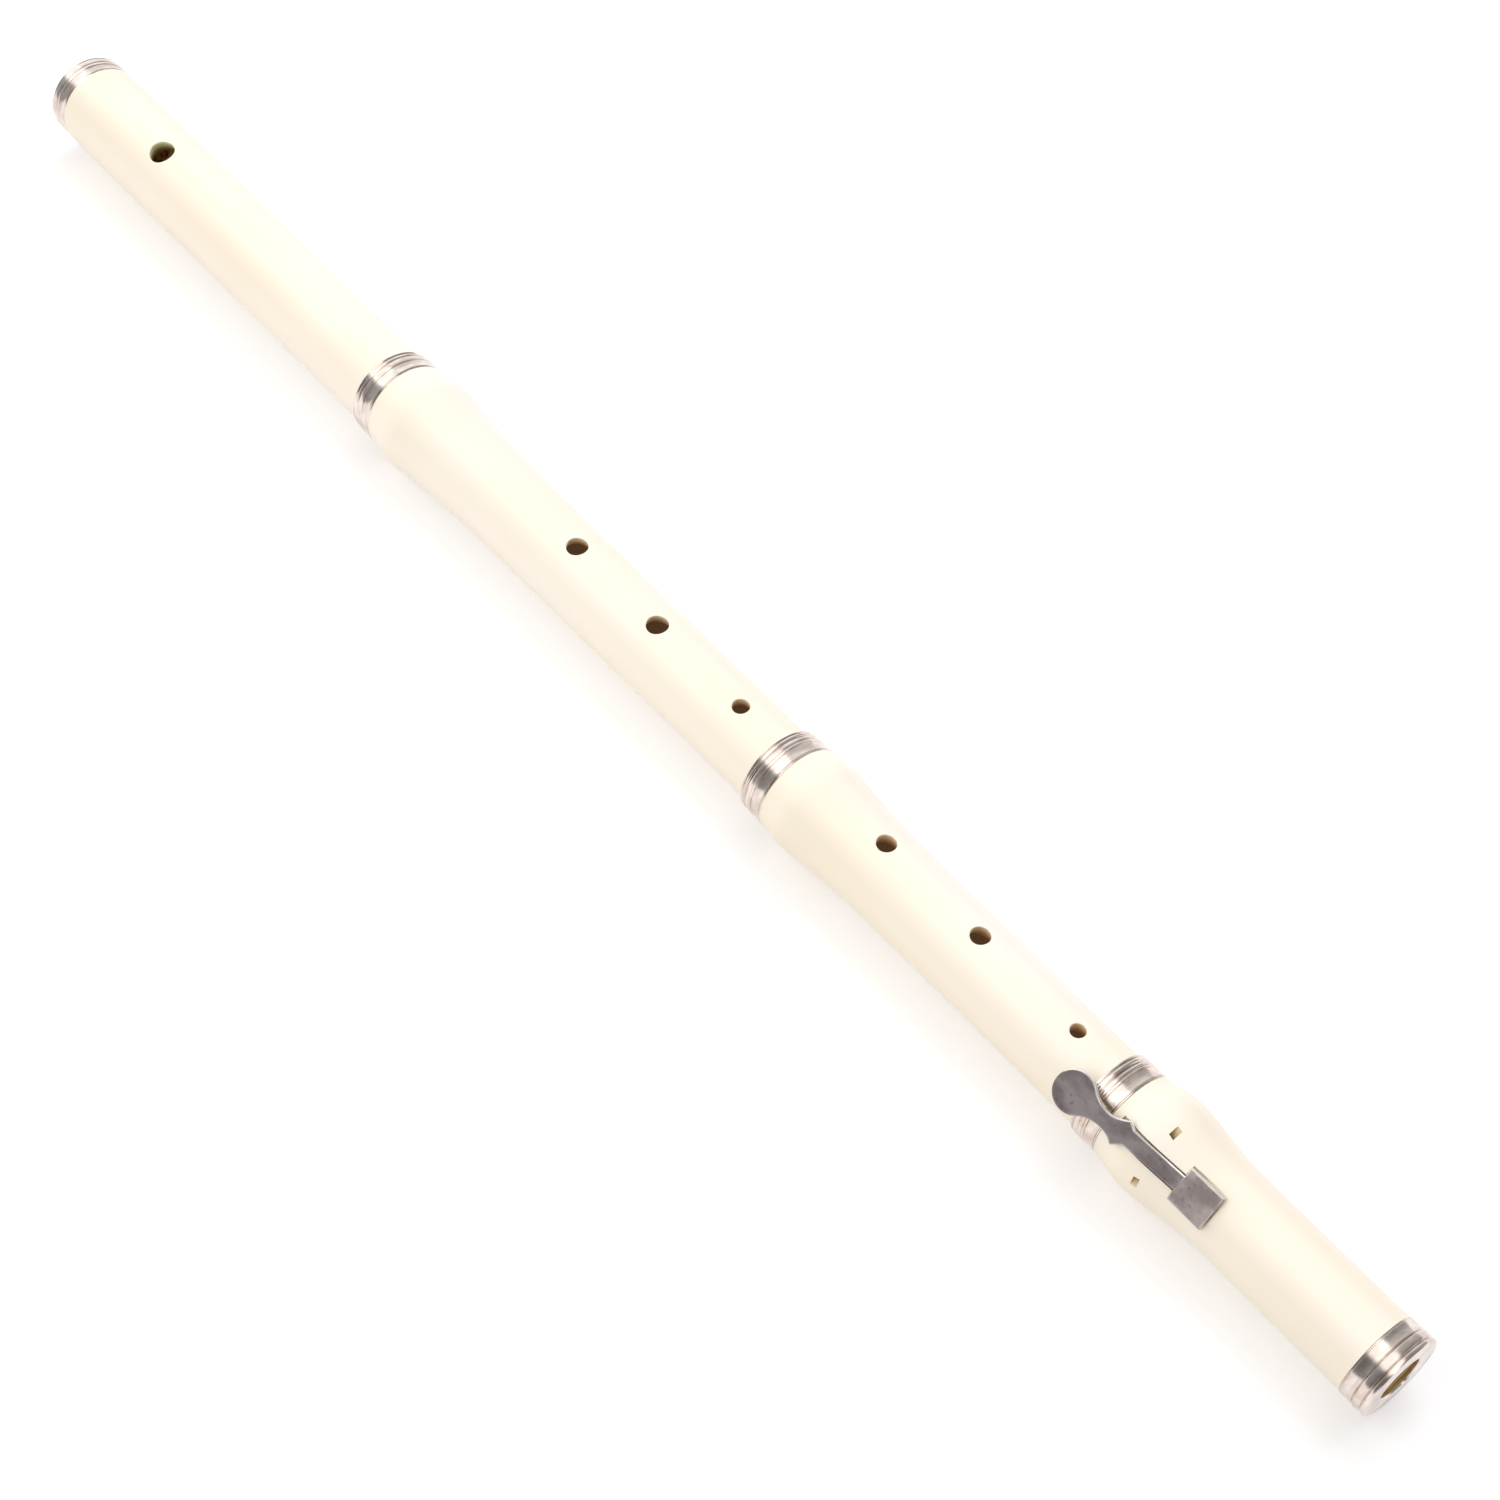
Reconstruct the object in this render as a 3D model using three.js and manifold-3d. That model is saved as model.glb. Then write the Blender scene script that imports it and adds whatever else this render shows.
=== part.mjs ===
// One-keyed baroque flute in four joints: head, upper body, lower body and foot.
// Millimetres, +Z up. The flute lies along X, head end first, with its finger holes facing +Z.
// A station is a distance along the flute from the head end. Every joint is turned about the same
// axis, and each joint's upper end is a bulb with a socket that takes the tenon of the joint above.
import * as THREE from 'three';
import { mergeVertices } from 'three/addons/utils/BufferGeometryUtils.js';
import Module from 'manifold-3d';

// Sides of a turned piece. A whole side faces down, so the flute rests without rolling.
const turnedSides = 30;
const smallSides = 20;
const rivetSides = 10;
const curveSteps = 12;
const planSteps = 6;
const riseSteps = 4;
const fallSteps = 10;
const fallSpread = 1.5;    // how the steps lengthen down a bulb's cove
const domeSteps = 3;
const weldDistance = 1e-4; // corners nearer than this are one corner

// Clearances
const fitGap = 0.15;       // between a turned piece and the one it sits on or in
const seatGap = 0.3;       // between pieces of the key that rest on each other
const overrun = 4;         // how far a cutting tool runs past the wall

// Head joint: a plain taper with the mouth hole
const head = {
  length: 181.5, topRadius: 14.45, lowRadius: 13.65, boreRadius: 9.3,
  ringLength: 8.2, ringRadius: 14.3,
  mouthStation: 56.05, mouthAlong: 4.35, mouthAcross: 4.2, turn: -12,
};
const headTenon = { length: 24, radius: 11.3, lapLength: 17, lapDepth: 0.8, lapRadius: 11.45, endWall: 2 };

// Upper body: first bulb, three finger holes
const upper = {
  length: 187.8, slimRadius: 12.85, lowRadius: 12.42, boreRadius: 9.1, boreEndRadius: 8.0,
  ringLength: 9.1, ringMouthRadius: 14.45, ringShoulderRadius: 14.95,
  crestStation: 20.5, crestRadius: 16.1, crestLand: 2, coveLength: 20, covePower: 1.1, coveReach: 66,
  holes: [[96.65, 3.25], [134.25, 3.3], [171.65, 2.55]],
};
const upperTenon = { length: 22, radius: 10.1, lapLength: 15, lapDepth: 0.8, lapRadius: 10.25, endWall: 2 };

// Lower body: second bulb, three finger holes
const lower = {
  length: 131.2, slimRadius: 12.4, lowRadius: 12.15, boreRadius: 7.9, boreEndRadius: 7.0,
  ringLength: 8.8, ringMouthRadius: 13.6, ringShoulderRadius: 13.95,
  crestStation: 17.7, crestRadius: 14.65, crestLand: 2, coveLength: 14.3, covePower: 1.2, coveReach: 46,
  holes: [[44.05, 2.85], [81.15, 2.85], [117.75, 2.2]], turn: 4,
};
const lowerTenon = { length: 19, radius: 9.0, lapLength: 12.5, lapDepth: 0.8, lapRadius: 9.15, endWall: 2 };

// Foot: third bulb, which carries the key, and the open end
const foot = {
  length: 99.5, slimRadius: 12.2, lowRadius: 12.15, boreRadius: 6.9, boreEndRadius: 6.5,
  ringLength: 8.6, ringMouthRadius: 12.95, ringShoulderRadius: 13.15,
  crestStation: 19.5, crestRadius: 14.65, crestLand: 2, coveLength: 12.2, covePower: 1.8, coveReach: 34,
  endRingLength: 8, endRingRadius: 12.4, endPlate: 1.1,
};

// Metal rings
const ringWall = 1.15;
const grooveDepth = 0.42;
// Turned outline of a ring at a socket's mouth: share of its length, share of the groove depth cut away
const socketRingShares = [
  [0, 0.9], [0.03, 0.3], [0.1, 0.2], [0.13, 1], [0.16, 0], [0.24, 0], [0.27, 1], [0.3, 0],
  [0.42, 0], [0.435, 0.7], [0.45, 0.1], [0.52, 0.1], [0.55, 1], [0.58, 0.2], [0.74, 0.5],
  [0.9, 0.2], [0.93, 0.7], [0.95, 0], [1, 0],
];
// Turned outline of a ring at a free end, from the ivory to the end face
const endRingShares = [
  [0, 0], [0.045, 0], [0.06, 0.45], [0.235, 0.75], [0.41, 0.35], [0.475, 1.2], [0.54, 0.25],
  [0.65, 0], [0.76, 0.25], [0.8, 1.2], [0.85, 0.2], [0.95, 0.2], [1, 1.2],
];

// Closed upper end
const cap = { faceThickness: 3, crown: 0.8, plugLength: 9 };
const stopper = { length: 14, mouthDistance: 18.6 };

// Key: a flat lever in the bulb's slot. Its heights are distances from the flute's axis, and its
// stations are measured from the foot's socket mouth. It lies turned about the flute's axis.
const key = {
  turn: 41.5, pinStation: 23.5, pinHeight: 11.8, pinRadius: 0.65, pinHalfLength: 6.6,
  topHeight: 15.2, slope: 7.65, thickness: 1.5, bevel: 0.35,
  touchDistance: 24.35, touchRadius: 5.85, touchCorner: 45, waistDistance: 14.7, waistHalf: 2.2,
  shoulderDistance: 9.45, shoulderHalf: 4.1, shoulderSkew: 0.3,
  armDistance: 7.1, armHalf: 2.4, armEndHalf: 2.2,
  flapStart: 9.1, flapLength: 10.9, flapHalf: 5.05, flapHeight: 13.8, flapThickness: 1.6,
  // Filed by hand, so its parts aren't quite in line with the slot
  touchOffset: -0.8, shoulderOffset: -0.5, armOffset: 0, armEndOffset: 0.25, flapOffset: 0.15,
  lugRadius: 1.9, lugHalf: 1.75, lugReach: 2.4,
};
// Handles of the lever's and the spring's curves, as shares of the way along or out
const leverShares = { shoulderAlong: 0.4, shoulderOut: 0.8, waistAlong: 0.7, neckAlong: 0.5 };
const springShares = { highAlong: 0.45, lowAlong: 0.7 };
const pad = { radius: 4.7 };
const spring = { halfWidth: 1.3, thickness: 0.35, tipDistance: 6.4, tail: 1.6, rivetDistance: 18.6 };
const rivet = { shankRadius: 0.5, headRadius: 1, headThickness: 0.45, flatRadius: 0.6 };

// Cuts in the foot for the key
const slot = { half: 2.7, startDistance: 12.2, frontDepth: 12.3, deepDistance: 4.2, depth: 10.7 };
const lugPocket = { depth: 9.55 };
const channel = { half: 0.9 };
const seat = { height: 11.1, margin: 0.3 };
const keyHole = { radius: 3.1 };

// Finishes
const ivory = { color: 0xf6ead2, roughness: 0.32, metalness: 0 };
const ringMetal = { color: 0xc9c4bf, roughness: 0.16, metalness: 1 };
const keyMetal = { color: 0x767070, roughness: 0.42, metalness: 0.9 };
const brassMetal = { color: 0xb89a5a, roughness: 0.35, metalness: 1 };
const cork = { color: 0xb98d5d, roughness: 0.9, metalness: 0 };
const thread = { color: 0xe6dcc6, roughness: 0.85, metalness: 0 };
const leather = { color: 0xd9c6a5, roughness: 0.8, metalness: 0 };

const wasm = await Module();
wasm.setup();
const degrees = THREE.MathUtils.degToRad;
const lerp = THREE.MathUtils.lerp;

// A closed geometry with merged corners, its faces turned outwards
function closed(geometry) {
  geometry.deleteAttribute('normal');
  geometry.deleteAttribute('uv');
  const merged = mergeVertices(geometry, weldDistance);
  const place = merged.attributes.position;
  const corners = merged.index.array;
  const a = new THREE.Vector3();
  const b = new THREE.Vector3();
  const c = new THREE.Vector3();
  let volume = 0;
  for (let i = 0; i < corners.length; i += 3) {
    a.fromBufferAttribute(place, corners[i]);
    b.fromBufferAttribute(place, corners[i + 1]);
    c.fromBufferAttribute(place, corners[i + 2]);
    volume += a.dot(b.cross(c));
  }
  if (volume < 0) {
    for (let i = 0; i < corners.length; i += 3) {
      [corners[i], corners[i + 1]] = [corners[i + 1], corners[i]];
    }
  }
  return merged;
}

function toSolid(geometry) {
  const whole = closed(geometry);
  return new wasm.Manifold(new wasm.Mesh({
    numProp: 3,
    vertProperties: Float32Array.from(whole.attributes.position.array),
    triVerts: Uint32Array.from(whole.index.array),
  }));
}

function toGeometry(solid) {
  const mesh = solid.getMesh();
  const geometry = new THREE.BufferGeometry();
  geometry.setAttribute('position', new THREE.BufferAttribute(mesh.vertProperties, 3));
  geometry.setIndex(new THREE.BufferAttribute(mesh.triVerts, 1));
  geometry.computeVertexNormals();
  return geometry;
}

function piece(name, geometry, finish) {
  const mesh = new THREE.Mesh(geometry, new THREE.MeshStandardMaterial(finish));
  mesh.name = name;
  return mesh;
}

// Turning: an outline of [station, radius] corners swept round the flute's axis
function turned(outline, sides = turnedSides) {
  const points = outline.map(([station, radius]) => new THREE.Vector2(radius, station));
  const geometry = new THREE.LatheGeometry(points, sides, Math.PI / sides);
  geometry.rotateZ(-Math.PI / 2);
  return geometry;
}

// A closed outline ends on the corner where it starts
const loop = (outline) => [...outline, outline[0]];

// A drill through the wall above the axis, at a station and a turn about the axis
function drill(station, along, across, reach, turn = 0) {
  const geometry = new THREE.CylinderGeometry(1, 1, reach, smallSides);
  geometry.rotateX(Math.PI / 2);
  geometry.scale(along, across, 1);
  geometry.translate(station, 0, reach / 2);
  geometry.rotateX(degrees(turn));
  return toSolid(geometry);
}

// A block from its low and high corners, turned about the flute's axis with the key
function block(low, high) {
  const size = new THREE.Vector3().subVectors(high, low);
  const geometry = new THREE.BoxGeometry(size.x, size.y, size.z);
  geometry.translate((low.x + high.x) / 2, (low.y + high.y) / 2, (low.z + high.z) / 2);
  geometry.rotateX(degrees(key.turn));
  return toSolid(geometry);
}

// Bulb: rises in a soft wave from the ring to its crest, then falls in a cove to the slim tube.
// The fall is the exponential of minus (distance / coveLength) to the covePower.
function bulbOutline(joint, seatStation) {
  const outline = [];
  const crestStart = joint.crestStation - joint.crestLand / 2;
  for (let i = 0; i <= riseSteps; i += 1) {
    const share = i / riseSteps;
    const wave = (1 - Math.cos(Math.PI * share)) / 2;
    outline.push([
      lerp(seatStation, crestStart, share),
      lerp(joint.ringShoulderRadius, joint.crestRadius, wave),
    ]);
  }
  for (let i = 0; i <= fallSteps; i += 1) {
    const distance = joint.coveReach * (i / fallSteps) ** fallSpread;
    const fall = Math.exp(-((distance / joint.coveLength) ** joint.covePower));
    const fade = i === fallSteps ? 0 : fall;
    outline.push([
      joint.crestStation + joint.crestLand / 2 + distance,
      lerp(joint.slimRadius, joint.crestRadius, fade),
    ]);
  }
  return outline;
}

const seatRadius = (ringRadius) => ringRadius - ringWall - fitGap;

// Tenon below a joint's shoulder, with a shallow bed for its lapping
function tenonOutline(shoulder, tenon) {
  const bedEnd = shoulder + tenon.length - tenon.endWall;
  const bedStart = bedEnd - tenon.lapLength;
  const bedRadius = tenon.radius - tenon.lapDepth;
  return [
    [shoulder, tenon.radius], [bedStart, tenon.radius], [bedStart, bedRadius],
    [bedEnd, bedRadius], [bedEnd, tenon.radius], [shoulder + tenon.length, tenon.radius],
  ];
}

// Socket that takes the tenon of the joint above
const socketRadius = (tenon) => tenon.lapRadius + fitGap;
const socketDepth = (tenon) => tenon.length + fitGap;

function lapping(name, shoulder, tenon) {
  const end = shoulder + tenon.length - tenon.endWall - fitGap;
  const start = end - tenon.lapLength + 2 * fitGap;
  const inner = tenon.radius - tenon.lapDepth + fitGap;
  return piece(name, closed(turned(loop([
    [start, inner], [start, tenon.lapRadius], [end, tenon.lapRadius], [end, inner],
  ]))), thread);
}

// Ring at a socket's mouth. Its outline follows the taper from mouth to shoulder.
function socketRing(name, joint) {
  const outline = socketRingShares.map(([along, cut]) => [
    along * joint.ringLength,
    lerp(joint.ringMouthRadius, joint.ringShoulderRadius, along) - cut * grooveDepth,
  ]);
  const inner = seatRadius(joint.ringMouthRadius) + fitGap;
  outline.push([joint.ringLength, inner], [0, inner]);
  return piece(name, closed(turned(loop(outline))), ringMetal);
}

// Body joint: socket and bulb above, slim tube, tenon below
function bodyJoint(joint, socketTenon, tenon) {
  const seatStation = joint.ringLength + fitGap;
  const shoulder = joint.length - fitGap;
  const seatOuter = seatRadius(joint.ringMouthRadius);
  const outline = [
    [0, socketRadius(socketTenon)], [0, seatOuter], [seatStation, seatOuter],
    ...bulbOutline(joint, seatStation), [shoulder, joint.lowRadius],
    ...tenonOutline(shoulder, tenon),
    [shoulder + tenon.length, joint.boreEndRadius],
    [socketDepth(socketTenon), joint.boreRadius],
    [socketDepth(socketTenon), socketRadius(socketTenon)],
  ];
  return toSolid(turned(loop(outline)));
}

function drillHoles(solid, joint) {
  return joint.holes.reduce(
    (rest, [station, radius]) => rest.subtract(drill(station, radius, radius, joint.slimRadius + overrun)),
    solid,
  );
}

// Head joint
function makeHead() {
  const group = new THREE.Group();
  const shoulder = head.length - fitGap;
  const seatOuter = seatRadius(head.ringRadius);
  const tubeStart = cap.faceThickness + fitGap;
  let tube = toSolid(turned(loop([
    [tubeStart, head.boreRadius], [tubeStart, seatOuter], [head.ringLength + fitGap, seatOuter],
    [head.ringLength + fitGap, head.topRadius], [shoulder, head.lowRadius],
    ...tenonOutline(shoulder, headTenon), [shoulder + headTenon.length, head.boreRadius],
  ])));
  const mouthReach = head.topRadius + overrun;
  tube = tube.subtract(drill(head.mouthStation, head.mouthAlong, head.mouthAcross, mouthReach));
  group.add(piece('head_tube', toGeometry(tube), ivory));
  group.add(lapping('head_tenon_lapping', shoulder, headTenon));

  const ringOutline = endRingShares.map(([along, cut]) => [
    head.ringLength * (1 - along), head.ringRadius - cut * grooveDepth,
  ]);
  const ringInner = seatOuter + fitGap;
  ringOutline.push([0, ringInner], [head.ringLength, ringInner]);
  group.add(piece('head_end_ring', closed(turned(loop(ringOutline))), ringMetal));

  const plugRadius = head.boreRadius - fitGap;
  const faceRadius = ringInner - fitGap;
  // The cap's face is a shallow dome: its drop is the crown times the square of the share of the radius
  const dome = Array.from({ length: domeSteps + 1 }, (_, i) => i / domeSteps)
    .map((share) => [cap.crown * share ** 2, faceRadius * share]);
  group.add(piece('end_cap', closed(turned([
    ...dome, [cap.faceThickness, faceRadius],
    [cap.faceThickness, plugRadius], [cap.faceThickness + cap.plugLength, plugRadius],
    [cap.faceThickness + cap.plugLength, 0],
  ])), ivory));

  const stopperEnd = head.mouthStation - stopper.mouthDistance;
  group.add(piece('stopper_cork', closed(turned([
    [stopperEnd - stopper.length, 0], [stopperEnd - stopper.length, plugRadius],
    [stopperEnd, plugRadius], [stopperEnd, 0],
  ])), cork));
  group.rotation.x = -degrees(head.turn);
  return group;
}

function makeUpper() {
  const group = new THREE.Group();
  const tube = drillHoles(bodyJoint(upper, headTenon, upperTenon), upper);
  group.add(piece('upper_body_tube', toGeometry(tube), ivory));
  group.add(socketRing('upper_body_ring', upper));
  group.add(lapping('upper_tenon_lapping', upper.length - fitGap, upperTenon));
  return group;
}

function makeLower() {
  const group = new THREE.Group();
  const tube = drillHoles(bodyJoint(lower, upperTenon, lowerTenon), lower);
  group.add(piece('lower_body_tube', toGeometry(tube), ivory));
  group.add(socketRing('lower_body_ring', lower));
  group.add(lapping('lower_tenon_lapping', lower.length - fitGap, lowerTenon));
  group.rotation.x = -degrees(lower.turn);
  return group;
}

// Foot: the turned tube, then the slot, the lug's pocket, the pin's channel, the flat seat and the key hole
const flapMiddle = key.pinStation + key.flapStart + key.flapLength / 2;
const flapEnd = key.pinStation + key.flapStart + key.flapLength;

function footTube() {
  const seatStation = foot.ringLength + fitGap;
  const endSeat = seatRadius(foot.endRingRadius);
  const endShoulder = foot.length - foot.endRingLength - fitGap;
  const plateSeat = foot.length - foot.endPlate - fitGap;
  const seatOuter = seatRadius(foot.ringMouthRadius);
  let tube = toSolid(turned(loop([
    [0, socketRadius(lowerTenon)], [0, seatOuter], [seatStation, seatOuter],
    ...bulbOutline(foot, seatStation), [endShoulder, foot.lowRadius], [endShoulder, endSeat],
    [plateSeat, endSeat], [plateSeat, foot.boreEndRadius],
    [socketDepth(lowerTenon), foot.boreRadius], [socketDepth(lowerTenon), socketRadius(lowerTenon)],
  ])));
  const top = foot.crestRadius + overrun;
  const box = (start, end, half, low, high, offset = 0) => block(
    new THREE.Vector3(start, offset - half, low), new THREE.Vector3(end, offset + half, high),
  );
  const slotStart = key.pinStation - slot.startDistance;
  const slotDeep = key.pinStation - slot.deepDistance;
  const seatStart = key.pinStation + key.flapStart - seat.margin;
  const pocketHalf = key.lugRadius + 2 * seatGap;
  const cuts = [
    box(slotStart, seatStart + seat.margin, slot.half, slot.frontDepth, top),
    box(slotDeep, seatStart + seat.margin, slot.half, slot.depth, top),
    box(key.pinStation - pocketHalf, key.pinStation + pocketHalf, slot.half, lugPocket.depth, top),
    box(seatStart, flapEnd + seat.margin, key.flapHalf + seat.margin, seat.height, top, key.flapOffset),
    box(key.pinStation - channel.half, key.pinStation + channel.half, foot.crestRadius,
      key.pinHeight - channel.half, key.pinHeight + channel.half),
    drill(flapMiddle, keyHole.radius, keyHole.radius, seat.height + overrun, key.turn),
  ];
  return cuts.reduce((rest, cut) => rest.subtract(cut), tube);
}

function makeFoot() {
  const group = new THREE.Group();
  group.add(piece('foot_tube', toGeometry(footTube()), ivory));
  group.add(socketRing('foot_socket_ring', foot));

  const ringStart = foot.length - foot.endRingLength;
  const ringOutline = endRingShares.map(([along, cut]) => [
    ringStart + foot.endRingLength * along, foot.endRingRadius - cut * grooveDepth,
  ]);
  const ringInner = seatRadius(foot.endRingRadius) + fitGap;
  ringOutline.push(
    [foot.length, foot.boreEndRadius], [foot.length - foot.endPlate, foot.boreEndRadius],
    [foot.length - foot.endPlate, ringInner], [ringStart, ringInner],
  );
  group.add(piece('foot_end_ring', closed(turned(loop(ringOutline))), ringMetal));
  return group;
}

// Lever's plan, from the pin: round touch, waist, pointed shoulders, arm up to the flap
function leverPlan() {
  const plan = new THREE.Shape();
  const end = key.flapStart + key.flapLength / 2 - pad.radius - seatGap;
  const middle = key.touchOffset;
  const tip = key.shoulderOffset;
  plan.moveTo(end, key.armEndOffset - key.armEndHalf);
  plan.lineTo(end, key.armEndOffset + key.armEndHalf);
  plan.lineTo(-key.armDistance, key.armOffset + key.armHalf);
  plan.lineTo(-key.shoulderDistance + key.shoulderSkew, tip + key.shoulderHalf);
  const corner = degrees(key.touchCorner);
  const joinX = -key.touchDistance + key.touchRadius * Math.cos(corner);
  const joinY = key.touchRadius * Math.sin(corner);
  const neckX = lerp(-key.waistDistance, joinX, leverShares.neckAlong);
  const waistX = lerp(-key.shoulderDistance, -key.waistDistance, leverShares.waistAlong);
  const shoulderX = lerp(-key.shoulderDistance, -key.waistDistance, leverShares.shoulderAlong);
  const shoulderY = lerp(key.shoulderHalf, key.waistHalf, leverShares.shoulderOut);
  const waistTop = middle + key.waistHalf;
  const waistLow = middle - key.waistHalf;
  plan.bezierCurveTo(shoulderX, tip + shoulderY, waistX, waistTop, -key.waistDistance, waistTop);
  plan.quadraticCurveTo(neckX, waistTop, joinX, middle + joinY);
  plan.absarc(-key.touchDistance, middle, key.touchRadius, corner, 2 * Math.PI - corner, false);
  plan.quadraticCurveTo(neckX, waistLow, -key.waistDistance, waistLow);
  plan.bezierCurveTo(
    waistX, waistLow, shoulderX, tip - shoulderY,
    -key.shoulderDistance - key.shoulderSkew, tip - key.shoulderHalf,
  );
  plan.lineTo(-key.armDistance, key.armOffset - key.armHalf);
  plan.closePath();
  return plan;
}

// A plate from its plan, with bevelled edges, its top face at height 0
function plate(plan, thickness, bevel, steps) {
  const geometry = new THREE.ExtrudeGeometry(plan, {
    depth: thickness - 2 * bevel, bevelEnabled: true, bevelThickness: bevel, bevelSize: bevel,
    bevelOffset: -bevel, bevelSegments: 1, curveSegments: steps,
  });
  geometry.translate(0, 0, bevel - thickness);
  return geometry;
}

// Height of the lever's underside at a distance from the pin towards the touch
const leverUnder = (distance) => key.topHeight + distance * Math.tan(degrees(key.slope))
  - key.thickness / Math.cos(degrees(key.slope));

function leverSolid() {
  const arm = plate(leverPlan(), key.thickness, key.bevel, planSteps);
  arm.rotateY(degrees(key.slope));
  arm.translate(key.pinStation, 0, key.topHeight);

  const flapPlan = new THREE.Shape();
  flapPlan.moveTo(0, key.flapOffset - key.flapHalf);
  flapPlan.lineTo(key.flapLength, key.flapOffset - key.flapHalf);
  flapPlan.lineTo(key.flapLength, key.flapOffset + key.flapHalf);
  flapPlan.lineTo(0, key.flapOffset + key.flapHalf);
  flapPlan.closePath();
  const flap = plate(flapPlan, key.flapThickness, key.bevel, 1);
  flap.translate(key.pinStation + key.flapStart, 0, key.flapHeight);

  const lugPlan = new THREE.Shape();
  lugPlan.moveTo(-key.lugReach, key.topHeight - key.pinHeight - key.thickness / 2);
  lugPlan.lineTo(-key.lugRadius, 0);
  lugPlan.absarc(0, 0, key.lugRadius, Math.PI, 2 * Math.PI, false);
  lugPlan.lineTo(key.lugReach, key.topHeight - key.pinHeight - key.thickness);
  lugPlan.closePath();
  const lug = new THREE.ExtrudeGeometry(lugPlan, {
    depth: 2 * key.lugHalf, bevelEnabled: false, curveSegments: curveSteps,
  });
  lug.translate(0, 0, -key.lugHalf);
  lug.rotateX(Math.PI / 2);
  lug.translate(key.pinStation, 0, key.pinHeight);

  const bore = new THREE.CylinderGeometry(
    key.pinRadius + fitGap, key.pinRadius + fitGap, 2 * (key.lugHalf + overrun), smallSides,
  );
  bore.translate(key.pinStation, 0, key.pinHeight);
  return toSolid(arm).add(toSolid(flap)).add(toSolid(lug)).subtract(toSolid(bore));
}

// Leaf spring: riveted under the waist end of the touch, it bends down to rest its tip in the slot
function springSolid() {
  const along = (distance) => new THREE.Vector2(-distance, leverUnder(distance) - fitGap);
  const tipTop = slot.frontDepth + seatGap + spring.thickness;
  const highDistance = lerp(spring.rivetDistance, spring.tipDistance, springShares.highAlong);
  const lowDistance = lerp(spring.rivetDistance, spring.tipDistance, springShares.lowAlong);
  const line = new THREE.CubicBezierCurve(
    along(spring.rivetDistance - spring.tail), along(highDistance),
    new THREE.Vector2(-lowDistance, tipTop), new THREE.Vector2(-spring.tipDistance, tipTop),
  );
  const topLine = [along(spring.rivetDistance + spring.tail), ...line.getPoints(curveSteps)];
  const underLine = topLine.map((point) => new THREE.Vector2(point.x, point.y - spring.thickness)).reverse();
  const side = new THREE.ExtrudeGeometry(new THREE.Shape([...topLine, ...underLine]), {
    depth: 2 * spring.halfWidth, bevelEnabled: false,
  });
  side.translate(0, 0, -spring.halfWidth);
  side.rotateX(Math.PI / 2);
  side.translate(key.pinStation, 0, 0);
  const hole = new THREE.CylinderGeometry(
    rivet.shankRadius + fitGap, rivet.shankRadius + fitGap, overrun, rivetSides,
  );
  hole.rotateX(Math.PI / 2);
  hole.translate(key.pinStation - spring.rivetDistance, 0, leverUnder(spring.rivetDistance));
  return toSolid(side).subtract(toSolid(hole));
}

function makeKey() {
  const group = new THREE.Group();
  group.add(piece('key_lever', toGeometry(leverSolid()), keyMetal));

  const padTop = key.flapHeight - key.flapThickness - fitGap;
  const padLow = seat.height + fitGap;
  const padSolid = new THREE.CylinderGeometry(pad.radius, pad.radius, padTop - padLow, smallSides);
  padSolid.rotateX(Math.PI / 2);
  padSolid.translate(flapMiddle, 0, (padTop + padLow) / 2);
  group.add(piece('key_pad', closed(padSolid), leather));

  const pin = new THREE.CylinderGeometry(key.pinRadius, key.pinRadius, 2 * key.pinHalfLength, smallSides);
  pin.translate(key.pinStation, 0, key.pinHeight);
  group.add(piece('key_pin', closed(pin), brassMetal));

  group.add(piece('key_spring', toGeometry(springSolid()), brassMetal));

  const headTop = leverUnder(spring.rivetDistance - rivet.headRadius) - spring.thickness - 2 * fitGap;
  const shankTop = leverUnder(spring.rivetDistance - rivet.shankRadius) - fitGap;
  const rivetSolid = new THREE.LatheGeometry([
    new THREE.Vector2(0, headTop - rivet.headThickness),
    new THREE.Vector2(rivet.flatRadius, headTop - rivet.headThickness),
    new THREE.Vector2(rivet.headRadius, headTop - rivet.headThickness / 2),
    new THREE.Vector2(rivet.headRadius, headTop),
    new THREE.Vector2(rivet.shankRadius, headTop),
    new THREE.Vector2(rivet.shankRadius, shankTop),
    new THREE.Vector2(0, shankTop),
  ], rivetSides);
  rivetSolid.rotateX(Math.PI / 2);
  rivetSolid.translate(key.pinStation - spring.rivetDistance, 0, 0);
  group.add(piece('spring_rivet', closed(rivetSolid), brassMetal));
  group.rotation.x = degrees(key.turn);
  return group;
}

const flute = new THREE.Group();
const headGroup = makeHead();
const upperGroup = makeUpper();
const lowerGroup = makeLower();
const footGroup = makeFoot();
footGroup.add(makeKey());
upperGroup.position.x = head.length;
lowerGroup.position.x = upperGroup.position.x + upper.length;
footGroup.position.x = lowerGroup.position.x + lower.length;
flute.add(headGroup, upperGroup, lowerGroup, footGroup);

// The origin is the middle of the underside of the whole flute's box
flute.updateMatrixWorld(true);
const reach = new THREE.Box3().setFromObject(flute, true);
flute.position.set(-(reach.min.x + reach.max.x) / 2, -(reach.min.y + reach.max.y) / 2, -reach.min.z);
flute.updateMatrixWorld(true);

export default flute;
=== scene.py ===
# Baroque flute: the look of every piece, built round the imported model. Metres, flute along X.
# A station is a distance along the flute from the head end. An azimuth goes round it from straight
# up towards +Y, and the key lies on the -Y side. Sizes of pieces are in mm.
import math
import bmesh
import bpy
import numpy as np
from mathutils import Matrix, Vector


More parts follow.
